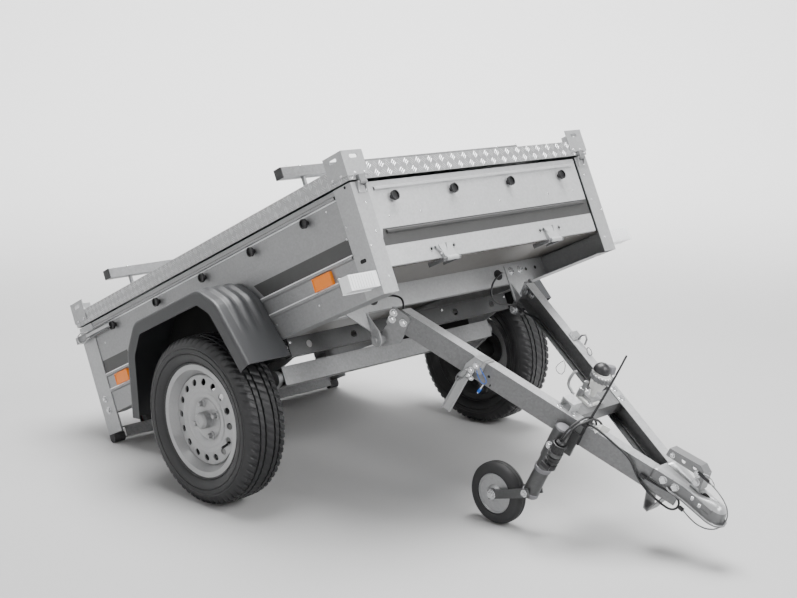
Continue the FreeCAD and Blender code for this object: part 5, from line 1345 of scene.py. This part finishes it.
@dataclass
class BoardDetails:
    """Pressed rests on the front board and tailgate, with their washers, rivets and holes."""

    hinge: float = 253.0
    holes_up: float = 264.0

    def build(self) -> None:
        """Add the details."""
        washer = Form.turned([(9, 0), (8.4, 1.2), (6, 1.6), (5.2, 0.4)], 16)
        for end, body, face in ((1, Body.FRONT_BOARD, 786.0), (-1, Body.TAILGATE, -770.0)):
            board = Mount(BOX, body)
            facing = (end, 0, 0)
            rests = Form()
            for side in SIDES:
                middle = side * self.hinge
                for across in (middle - 51, middle + 46):
                    spot = (face, across, self.holes_up)
                    board.hole(facing, 4.6, spot)
                    rests += washer.stood(spot, facing)
                rests += self._rest(face, middle, end)
                raised = face + end * 2
                board.rivet(facing, 7, 5, (raised, middle - 17, 246), (raised, middle + 18, 246))
                board.rivet(facing, 3, 1.2, *((face, side * across, 380) for across in (430, 300, 60)))
            board.add(rests, f"{body.value}_rests", "bright_box", "zinc")

    @staticmethod
    def _rest(face: float, middle: float, end: int) -> Form:
        """A bent strap in the shape of a V that stands out from the board over a hinge.

        Args:
            face: The board's face along the box.
            middle: Middle of the hinge across it.
            end: 1 for the front board and -1 for the tailgate.

        Returns:
            The strap, open at both ends.
        """
        line = [(-38, 266), (-14, 244), (-4, 241), (6, 256), (10, 272)]
        across, up = resampled(line, np.linspace(0, len(line) - 1, 17)).T
        rows = [
            np.c_[np.full(17, face + end * depth), middle + across, up + wide]
            for depth, wide in ((0, 4.0), (9, 3.2), (9, -3.2), (0, -4.0))
        ]
        return Form.sheet(np.stack(rows, axis=1), around=True)


@dataclass
class Wheels:
    """Bolts, cap, disc ridge, valve and rim edge of both wheels."""

    track: float = 643.0
    disc: float = 28.0
    bolt_circle: float = 52.0
    rim_half: float = 57.0
    valve_circle: float = 118.0
    valve_turn: float = math.radians(142.0)

    def build(self) -> None:
        """Add the details of both wheels."""
        head = [(13, 0), (12.4, 2), (9.4, 5), (9, 5.2), (9, 17), (7.6, 18.6), (0, 18.6)]
        bolt = Form.turned(head, 6) + Form.turned([(14.5, 0), (13.5, 3.2), (10, 4.4)], 20)
        lip = Form.turned([(27.2, 0), (29, 0.6), (29, 2.4), (27.6, 3.4), (27.2, 3.4)], 32)
        dish = Form.turned([(19, 0), (18.2, 1), (9, 1), (8.2, 0.3), (0, 0.3)], 32)
        swell = [(62, 0), (67, 3.6), (74, 7), (83, 8.6), (91, 7.6), (97, 4.6), (102, 1.4), (104, 0)]
        stem = [(6, 0), (6, 6), (4, 10), (4, 26), (4.6, 27), (4.6, 36), (3.6, 38), (0, 38)]
        edge = [(181.5, 0), (184, 0.4), (184.6, 2), (183.4, 3.8), (180, 4.6), (172, 1.6), (168.5, -3)]
        x, z = math.sin(self.valve_turn), math.cos(self.valve_turn)
        for name, side, body in WHEELS:
            wheel = Mount(BOX, body)
            out = (0, side, 0)
            seat = side * (self.track + self.disc + 3)
            bolts = Form()
            for t in turns(4):
                spot = (self.bolt_circle * math.sin(t), seat, self.bolt_circle * math.cos(t))
                bolts += bolt.stood(spot, out)
            wheel.add(bolts, f"wheel_bolts_{name}", "hub", "zinc")
            cap = lip.stood((0, seat, 0), out) + dish.stood((0, side * (self.track + self.disc + 34), 0), out)
            wheel.add(cap, f"hub_cap_{name}", "hub", "hub")
            swollen = Form.turned(swell, 72).stood((0, seat + side * 0.4, 0), out)
            wheel.add(swollen, f"rim_dish_{name}", "rim", "rim")
            foot = (self.valve_circle * x, side * (self.track + self.disc + 2), self.valve_circle * z)
            valve = Form.turned(stem, 12).stood(foot, (0.3 * x, side * 0.9, 0.3 * z))
            wheel.add(valve, f"valve_{name}", "black", "rubber")
            rolled = Form.turned(edge, 96).stood((0, side * (self.track + self.rim_half + 0.2), 0), out)
            wheel.add(rolled, f"rim_edge_{name}", "rim", "rim")


@dataclass
class Mudguards:
    """Moulded arches: a wide outer flange, a rounded edge and three ribs over the front slope."""

    inner: float = 551.0
    outer: float = 720.0
    lip: float = 45.0
    wall: float = 3.0
    ribs: tuple[float, ...] = (36.0, 76.0, 116.0)
    arch: tuple[tuple[float, float], ...] = (
        (-338, 92), (-262, 299), (-181, 376.5), (189, 376.5), (260, 314.5), (330, 102)
    )
    # Outline of the near-black sheet of painted shade on the box inside each arch.
    arch_shade_sheet: tuple[tuple[float, float], ...] = (
        (-333, 96), (-259, 296), (-180, 372), (187, 372), (257, 311), (325, 104)
    )

    def form(self, side: int) -> Form:
        """The moulding as rows along the arch and columns from its inner edge to the flange.

        Args:
            side: -1 for the right guard and 1 for the left.

        Returns:
            The closed moulding.
        """
        rows = self._rounded(np.array(self.arch))
        share = travelled(rows)
        share = share / share[-1]
        ribbed = np.clip((share - 0.60) / 0.05, 0, 1) * np.clip((0.90 - share) / 0.10, 0, 1)
        width = self.outer - self.inner
        across = np.r_[0.0, np.linspace(6, width - 10, 66), width - 5, width - 1.5, width]
        rounding = np.r_[np.zeros(67), 1.2, 3.6, 8.0]
        swell = sum(5.5 * np.clip(1.35 - np.abs(across - middle) / 11.0, 0, 1) for middle in self.ribs)
        lift = swell * ribbed[:, None] - rounding
        flange = np.repeat(-np.linspace(14.0, self.lip, 4)[None], len(rows), 0)
        inside = width - self.wall
        lifts = np.c_[lift, flange, flange[:, ::-1], lift[:, ::-1] - self.wall]
        reach = np.r_[across, np.full(4, width), np.full(4, inside), np.minimum(across[::-1], inside)]
        heading = unit(np.gradient(rows, axis=0))
        flat = rows[:, None] + np.c_[-heading[:, 1], heading[:, 0]][:, None] * lifts[..., None]
        level = np.broadcast_to(side * (self.inner + reach), lifts.shape)
        closed = Form.sheet(np.stack([flat[..., 0], level, flat[..., 1]], axis=-1), around=True)
        columns = len(reach)
        last = len(closed.points) - columns
        ends = [(k, k + 1, columns - 2 - k, columns - 1 - k) for k in range(columns // 2 - 1)]
        closed.faces += ends + [tuple(last + corner for corner in face[::-1]) for face in ends]
        return closed

    @staticmethod
    def _rounded(line: np.ndarray, reach: float = 26.0, steps: int = 7) -> np.ndarray:
        """A line whose corners are quadratic curves.

        Args:
            line: Its corner points.
            reach: How far a curve reaches from its corner.
            steps: Points in a curve.

        Returns:
            Points in order along the rounded line, with straights cut into short lengths.
        """
        points = [line[0]]
        share = np.linspace(0, 1, steps)[:, None]
        for before, corner, after in zip(line, line[1:], line[2:]):
            start = corner + unit(before - corner) * reach
            end = corner + unit(after - corner) * reach
            points += [*np.linspace(points[-1], start, 6, endpoint=False)[1:]]
            points += [*((1 - share) ** 2 * start + 2 * share * (1 - share) * corner + share**2 * end)]
        points += [*np.linspace(points[-1], line[-1], 7)[1:]]
        return np.array(points)

    def build(self) -> None:
        """Make both mudguards and, on the box inside each arch, a near-black sheet of painted shade."""
        for name, side in (("right", -1), ("left", 1)):
            # Painted shade: a near-black sheet on the box inside the arch.
            arch_shade_sheet = Form.slab(self.arch_shade_sheet, side * self.inner, side * (self.inner + 2.5))
            ON_BOX.add(arch_shade_sheet, f"liner_{name}", "painted_shade_black", "guard")
            ON_BOX.add(self.form(side), f"guard_{name}", "guard", "guard", (f"mudguard_{name}",))


@dataclass
class DrawbarDetails:
    """Fixings of the beams, the clasps with their levers, the cable tie, the blank tag and the pin."""

    def build(self) -> None:
        """Add the details."""
        for side in SIDES:
            out = BEAMS.outward(side)
            inwards = (-out[0], -out[1], 0)
            for along, up in ((5, 103), (8, 81), (44, 91)):
                ON_BAR.bolt(out, 9, 8, BEAMS.spot(side, along, -5, up))
                ON_BAR.bolt(inwards, 9.5, 9, BEAMS.spot(side, along, 4, up))
            ON_BAR.hole(out, 4.5, BEAMS.spot(side, 338, 0, 90))
            ON_BAR.hole(out, 2.4, BEAMS.spot(side, 352, 0, 66), length=2)
            ON_BAR.bolt(UP, 8, 6, BEAMS.spot(side, 548, 19, 125), BEAMS.spot(side, 590, 19, 125))
            self._clasp(side)
        self._clasp_wire()
        self._tie()
        self._tag()
        self._pin()

    @staticmethod
    def _plate(side: int, outline: Points, outer: float, inner: float) -> Form:
        """A plate beside a beam.

        Args:
            side: Which beam.
            outline: Its corners as (along, up).
            outer: Inset of its outer face.
            inner: Inset of its inner face.

        Returns:
            The closed plate.
        """
        faces = [[BEAMS.spot(side, along, inset, up) for along, up in outline] for inset in (outer, inner)]
        return Form.sheet(faces, around=True, ends=True)

    def _clasp(self, side: int) -> None:
        """The clasp's pressed body, its ring and screws, and the near one's hanging lever."""
        cheek = [
            (283, 129), (309, 129), (311, 118), (300, 94), (297, 70),
            (291, 52), (268, 34), (261, 46), (268, 74), (268, 94),
        ]
        form = self._plate(side, cheek, -13, -9)
        if side < 0:
            lever = [(269, 42), (294, 56), (287, -70), (284, -78), (262, -78), (260, -62)]
            form += self._plate(side, lever, -17, -14)
            for rear, top, front in ((269, 42, 260.5), (294, 56, 285)):
                lip = [(rear - 1.5, top), (rear + 1.5, top), (front + 1.5, -78), (front - 1.5, -78)]
                form += self._plate(side, lip, -23, -14)
        form += self._plate(side, [(283, 125.5), (311, 125.5), (311, 131), (283, 131)], -13, 20)
        ON_BAR.add(form, f"clasp_{side % 3}", "bright", "zinc", bevel=0.0008)
        hoop = [
            BEAMS.spot(side, 276 + 9 * math.cos(t) + 7 * math.sin(t), -24, 58 + 24 * math.sin(t))
            for t in turns(24)
        ]
        ON_BAR.add(Form.tube(hoop + hoop[:1], 2, 8), f"clasp_ring_{side % 3}", "wire", "zinc")
        for along, up, size in ((298, 106, 7), (289, 84, 7.5), (290, 66, 6.5), (300, 61, 5.5)):
            ON_BAR.bolt(BEAMS.outward(side), size, 8, BEAMS.spot(side, along, -13, up))

    @staticmethod
    def _clasp_wire() -> None:
        """The far clasp's wires: a ring on the beam, a thin drop below it and a bent hoop."""
        eye = [
            BEAMS.spot(1, 388 + 14 * math.cos(t), 14 + 3 * math.sin(t), 137 + 11 * math.sin(t))
            for t in turns(24)
        ]
        drop = [
            (327, 179.6, 55.5), (343, 170, 50), (352, 165, 36), (348, 166, 20), (337, 169, 13),
            (322, 173.5, 11), (313, 176.5, 17), (314, 176.5, 30), (320, 178, 45), (327, 179.6, 55.5),
        ]
        hoop = [(322, 12, 131), (326, 8, 150), (337, 4, 158), (348, 2, 150), (352, 4, 131)]
        form = Form.tube(eye + eye[:1], 1.5, 8) + Form.tube(drop, 1.1, 8)
        form += Form.tube([BEAMS.spot(1, *point) for point in hoop], 3, 8)
        ON_BAR.add(form, "clasp_wire", "wire", "zinc")

    def _tie(self) -> None:
        """The cable tie's band round the near beam and its long tail."""
        form = self._plate(-1, [(641, 126), (649, 126), (651, 55.5), (643, 55.5)], -2, -0.4)
        form += self._plate(-1, [(640, 125.4), (648, 125.4), (648, 127), (640, 127)], -2, 34)
        start = np.array(BEAMS.spot(-1, 645, 3, 142))
        share = np.linspace(0, 1, 12)[:, None]
        line = start + ((611, -30, 337) - start) * share + np.sin(share * math.pi) * (2, 0, 3)
        wide = np.linspace(3.6, 2.8, 12)[:, None] * (0.90, 0.44, -0.04)
        thin = np.multiply((-0.41, 0.80, -0.44), 0.6)
        corners = [line + wide + thin, line - wide + thin, line - wide - thin, line + wide - thin]
        form += Form.sheet(np.stack(corners, axis=1), around=True, ends=True)
        ON_BAR.add(form, "cable_tie", "black", "black_plastic")

    @staticmethod
    def _tag() -> None:
        """A blank white tag folded round the leads beside the plug."""
        tag = Form.slab([(662, 133), (678, 150), (706, 157), (703, 139), (678, 123)], -97, -96)
        fold = Form.slab([(662, 132), (678, 149), (678, 122)], -116, -97)
        ON_BAR.add(tag + fold, "blank_tag", "white", "zinc")

    @staticmethod
    def _pin() -> None:
        """The pin that hangs from its lanyard, with a grip wound in a helix."""
        top = np.array(BEAMS.spot(-1, 341, -15, 64))
        foot = np.array(BEAMS.spot(-1, 336, -15, 30))
        share = np.linspace(0, 1, 60)
        turn = share * 2 * math.pi * 6
        grip = top + (foot - top) * (0.45 + 0.42 * share[:, None])
        grip += np.c_[3.4 * np.cos(turn), 3.4 * np.sin(turn), np.zeros(60)]
        ON_BAR.add(Form.tube([top, foot], 1.8, 10), "hanging_pin", "white", "zinc")
        ON_BAR.add(Form.tube(grip, 1.3, 6), "pin_grip", "blue", "lanyard")


@dataclass
class Coupling:
    """The pressed skin of the coupling, with its rolled lower lip, bolts and handle fittings."""

    top: float = 131.6
    neck: float = 33.2
    ball_at: float = 1055.0
    crown: float = 146.0
    dome: float = 32.8
    lip: float = 98.6

    def plan(self) -> tuple[np.ndarray, np.ndarray]:
        """The line along the near side, round the dome and back along the far side.

        Returns:
            Its points and the outward direction at each.
        """
        near = [BEAMS.spot(-1, along, -6.6, 0)[:2] for along in np.linspace(862, 948, 9)]
        neck = [(along, -self.neck) for along in np.linspace(976, self.ball_at, 7)]
        turn = np.linspace(-math.pi / 2, 0, 9)[1:]
        half = np.r_[near, neck, np.c_[self.ball_at + self.dome * np.cos(turn), self.dome * np.sin(turn)]]
        plan = np.r_[half, half[-2::-1] * (1, -1)]
        heading = unit(np.gradient(plan, axis=0))
        return plan, np.c_[heading[:, 1], -heading[:, 0]]

    def skin(self) -> Form:
        """A skin from the lip up over the shoulder to the ridge along the middle.

        At each point of the plan the section is an ellipse quadrant from side to ridge.

        Returns:
            The skin.
        """
        plan, out = self.plan()
        rise = np.clip((plan[:, 0] - 985) / (self.ball_at - 985), 0, 1)
        smooth = rise * rise * (3 - 2 * rise)
        flat = 1 - smooth
        ridge_up = self.top + (self.crown - self.top) * smooth
        side_up = self.top - (8 * flat + 20 * smooth)
        ahead = np.clip((plan[:, 0] - 905) / 35, 0, 1)
        low = self.lip - 2.0 * ahead
        columns = []
        for reach, lift in ((9.5, 3.0), (9.5, -0.8), (5.0, -1.0), (1.0, 1.6), (0.0, 6.0), (0.0, 18.0)):
            columns.append(np.c_[plan + out * (reach * ahead)[:, None], low + lift])
        ridge = np.c_[np.minimum(plan[:, 0], self.ball_at), np.zeros(len(plan))]
        corner = np.minimum(1.0, 8.0 / np.linalg.norm(plan - ridge, axis=1).clip(8.0))
        for angle in np.linspace(0, math.pi / 2, 9):
            share = (1 - np.cos(angle)) * (flat * corner + smooth)
            spot = plan + (ridge - plan) * share[:, None]
            columns.append(np.c_[spot, side_up + (ridge_up - side_up) * np.sin(angle)])
        columns.append(np.c_[ridge + (plan - ridge) * 0.02, ridge_up])
        return Form.sheet(np.stack(columns, axis=1))

    def build(self) -> None:
        """Add the skin, the wear window, the bolts and the handle's pins."""
        skin = ON_BAR.add(self.skin(), "coupling_skin", "pressed", "zinc", smooth=50.0)
        skin.modifiers.new("sheet", "SOLIDIFY").thickness = 0.0012
        plan, out = self.plan()
        ahead = plan[:, 0] > 912
        lip = np.c_[(plan + out * 8.0)[ahead], np.full(int(ahead.sum()), 98.5)]
        lip[0, 2] = lip[-1, 2] = 104.0
        # Painted highlight: the rolled lip takes the lighter bright zinc, not the skin's darker grey.
        ON_BAR.add(Form.tube(lip, 2.6, 10), "coupling_lip", "bright", "zinc")
        for side in SIDES:
            beside = (BEAMS.spot(side, along, -6, 114) for along in (898, 935))
            ON_BAR.bolt(BEAMS.outward(side), 11, 10, *beside, sides=4)
            ON_BAR.rivet((0, side, 0), 7, 5, (991, side * 32.6, 119), (1019, side * 32.6, 116))
            for along, up, size in ((873, 175, 6), (971, 159, 8.5), (963, 181, 7.5)):
                ON_BAR.bolt((0, side, 0), size, 7, (along, side * 17, up))
        # Painted shade: the window is a near-black plate where the coupling opens.
        opening = Form.prism([(988, -6), (1000, -7), (1023, -3), (1021, 4), (1000, 4), (990, 2)], 133, 139.5)
        ON_BAR.add(opening, "coupling_slot", "painted_shade_black", "zinc")
        spring = Form.block((958, -14, 133), (996, 14, 138)) + Form.block((986, -10, 138), (1002, 10, 143))
        ON_BAR.add(spring, "coupling_catch", "bright", "zinc", bevel=0.001)
        catch = [(978, 196), (992, 201), (1008, 200), (1020, 194), (1024, 189), (1004, 184)]
        ON_BAR.add(Form.tube([(along, -20, up) for along, up in catch], 1.6, 8), "rope_catch", "wire", "zinc")


@dataclass
class JackDetails:
    """The jack's toothed ring, release knob, pump with its bent rod, foot and bolts."""

    at: float = 556.0
    base: float = 120.0

    def build(self) -> None:
        """Add the details."""
        steps = 96
        tooth = np.where((np.arange(steps) // 3) % 2 == 0, 34.6, 32.2)
        rows = [ring(tooth, 82, steps), ring(tooth, 97, steps), ring(24, 98.5, steps), ring(24, 81, steps)]
        collar = Form.sheet(rows, around=True, along=True).shaped(lambda p: p + (self.at, 0, self.base))
        ON_BAR.add(collar, "jack_ring", "handle", "jack")
        knob = [(9, 0), (9, 12), (16, 15), (17, 18), (17, 34), (15, 38), (8, 40), (0, 40)]
        leaning = Form.turned(knob, 24).stood((self.at + 8, 26, 205), (-0.3, 0.1, 1))
        ON_BAR.add(leaning, "jack_knob", "grey", "jack")
        rod = [
            (494, -30, 193), (488, -37, 180), (487, -40, 160), (490, -41, 143),
            (499, -42, 136), (518, -43, 129), (527, -40, 125),
        ]
        fine = resampled(rod, np.linspace(0, len(rod) - 1, 40))
        bent = np.stack([np.convolve(column, np.ones(5) / 5, "valid") for column in fine.T], axis=1)
        ON_BAR.add(Form.tube(bent, 4.5), "jack_rod", "bright", "jack")
        pump = Form.turned([(10, 0), (10, 26), (7, 28), (7, 52), (5, 54), (0, 54)], 20)
        ON_BAR.add(pump.stood((532, -26, 128), (0.05, 0, 1)), "jack_pump", "bright", "jack")
        ON_BAR.bolt(UP, 6, 6, *((along, across, 129) for along in (532, 576) for across in (-26, 26)))
        ON_BAR.add(Form.block((536, -24, 121), (576, 24, 140)), "jack_foot", "bright", "jack", bevel=0.002)


@dataclass
class JockeyDetails:
    """The jockey wheel's tyre, discs, bushes and bolts, and the collars and cap of its leg."""

    out: float = 168.0
    reach: float = 130.0
    leg: float = 607.0

    def build(self) -> None:
        """Add the details."""
        wheel, fork, leg = Mount(FORK, Body.JOCKEY), Mount(FORK, Body.FORK), Mount(BAR, Body.LEG)
        wall = [
            (62.5, -23), (66, -24), (74, -24.4), (84, -23.6), (90, -21), (94.5, -15), (96, -8), (94.6, -7),
            (94.6, -5),
        ]
        tread = Form.turned([*wall, (96, -4), (96, 4), *((r, -h) for r, h in wall[::-1])], 72)
        centre = (-self.reach, -self.out, 0)
        wheel.add(tread.stood(centre, (0, 1, 0)), "jockey_tread", "rubber", "rubber", ("jockey_tyre",))
        disc = [
            (62.4, 20), (61, 21.5), (57, 21.5), (53, 14.5), (34, 13), (27, 19.5), (20, 23), (12, 23.5),
            (8.2, 23.5),
        ]
        bush = Form.turned([(16, 0), (16, 5), (13, 6.5), (8.4, 6.5)], 24)
        for side in SIDES:
            out = (0, side, 0)
            cover = Form.turned(disc, 48).stood(centre, out)
            wheel.add(cover, f"jockey_disc_{side % 3}", "jockey_zinc", "rim")
            face = -self.out + side * 34
            fork.bolt(out, 11, 9, (-self.reach, face, 0))
            fork.bolt(out, 8, 7, (0, face, 0))
            seated = bush.stood((-self.reach, -self.out + side * 22.5, 0), out)
            wheel.add(seated, f"jockey_bush_{side % 3}", "black", "rubber")
        collar = Form.turned([(24.4, 0), (26.6, 1), (26.6, 13), (24.4, 14)], 32)
        for up in (-158, -60):
            leg.add(collar.stood((self.leg, -self.out, up)), f"leg_collar_{-up}", "grey", "zinc")
        cap = Form.turned([(24, 0), (24, 3), (20, 8), (8, 10), (0, 10)], 32)
        leg.add(cap.stood((self.leg, -self.out, 94)), "leg_cap", "grey", "zinc")
        ON_BAR.bolt((0, -1, 0), 9, 9, (self.leg, -self.out - 27, 40))


@dataclass
class PlugDetails:
    """Grip ribs, rings, gland and key of the parked plug."""

    along: float = 639.0
    across: float = -204.0

    def build(self) -> None:
        """Add the ribs and rings."""
        steps = 96
        radius = np.where((np.arange(steps) // 4) % 2 == 0, 20.2, 19.1)
        form = Form.sheet([ring(radius, 50, steps), ring(radius, 70, steps)], around=True)
        for up in (14, 26, 71):
            form += Form.turned([(18.8, 0), (21.4, 1), (21.4, 5), (18.8, 6)], 32).stood((0, 0, up))
        form += Form.turned([(14.2, 0), (15, 1), (15, 8), (11, 12.5), (7.5, 13)], 12).stood((0, 0, 73))
        key = Form.block((-16, -26, -8), (16, -19, 6))
        ON_BAR.add(form.stood((self.along, self.across, 0)), "plug_ribs", "cable", "black_plastic")
        ON_BAR.add(key.stood((self.along, self.across, 0)), "plug_key", "black", "black_plastic", bevel=0.001)


NODE_FINISH = {
    "panel": ("side_panel_left", "side_panel_right"),
    "front": ("front_board", "tailgate"),
    "post": ("posts_front", "posts_rear", "cross_member_front", "hinge_plates", "lid_hinges", "lid_lugs"),
    "painted_shade_hinge": ("board_hinges",),
    "frame": (
        "axle", "swing_arms", "rear_beam", "drawbar_brackets", "crossbars", "tail_latches", "lid_knuckles"
    ),
    "painted_shade_frame": ("cross_member_middle",),
    "beam": ("drawbar_beams", "drawbar_tie", "strap_foot"),
    "bright": ("tip_locks",),
    "pressed": ("coupling",),
    "handle": ("coupling_handle",),
    "tread": ("lid",),
    "rim": ("rim_left", "rim_right"),
    "hub": ("hub_left", "hub_right"),
    "guard": ("mudguard_left", "mudguard_right"),
    "floor": ("floor",),
    "lamp": ("position_lamps",),
    "rear_lamp": ("rear_lamps",),
    "amber": ("side_reflectors",),
    "black": ("side_knobs", "board_knobs", "grommets", "cable_clips", "plug", "jack_cap"),
    "rubber": ("rear_feet", "jockey_tyre"),
    "enamel": ("jack",),
    "jockey_zinc": ("jockey_rim",),
    "zinc_leg": ("jockey_leg", "jockey_clamp", "jockey_fork"),
}


def finish_nodes(nodes: dict[str, bpy.types.Object]) -> None:
    """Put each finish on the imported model's own solids, which keep their shape."""
    for finish, names in NODE_FINISH.items():
        for name in names:
            nodes[name].data.materials.clear()
            nodes[name].data.materials.append(material(finish))
            log.info("%s: finish %s", name, finish)


def main() -> None:
    """Dress the frame, piece by piece."""
    logging.basicConfig(level=logging.INFO, format="%(name)s %(message)s")
    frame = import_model()
    cad_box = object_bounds()
    Camera().build()
    Cords().build(frame["nodes"]["plug"])
    Studio().build()
    finish_nodes(frame["nodes"])
    for details in (
        Tyre, BoxDetails, TreadBars, LidDetails, BoardDetails, Wheels, Mudguards, DrawbarDetails, Coupling,
        JackDetails, JockeyDetails, PlugDetails,
    ):
        details().build()
    Mount.join()
    corners = {"cad": cad_box, "visual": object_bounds()}
    plain = {key: [[float(v) for v in corner] for corner in box] for key, box in corners.items()}


if __name__ == "__main__":
    main()
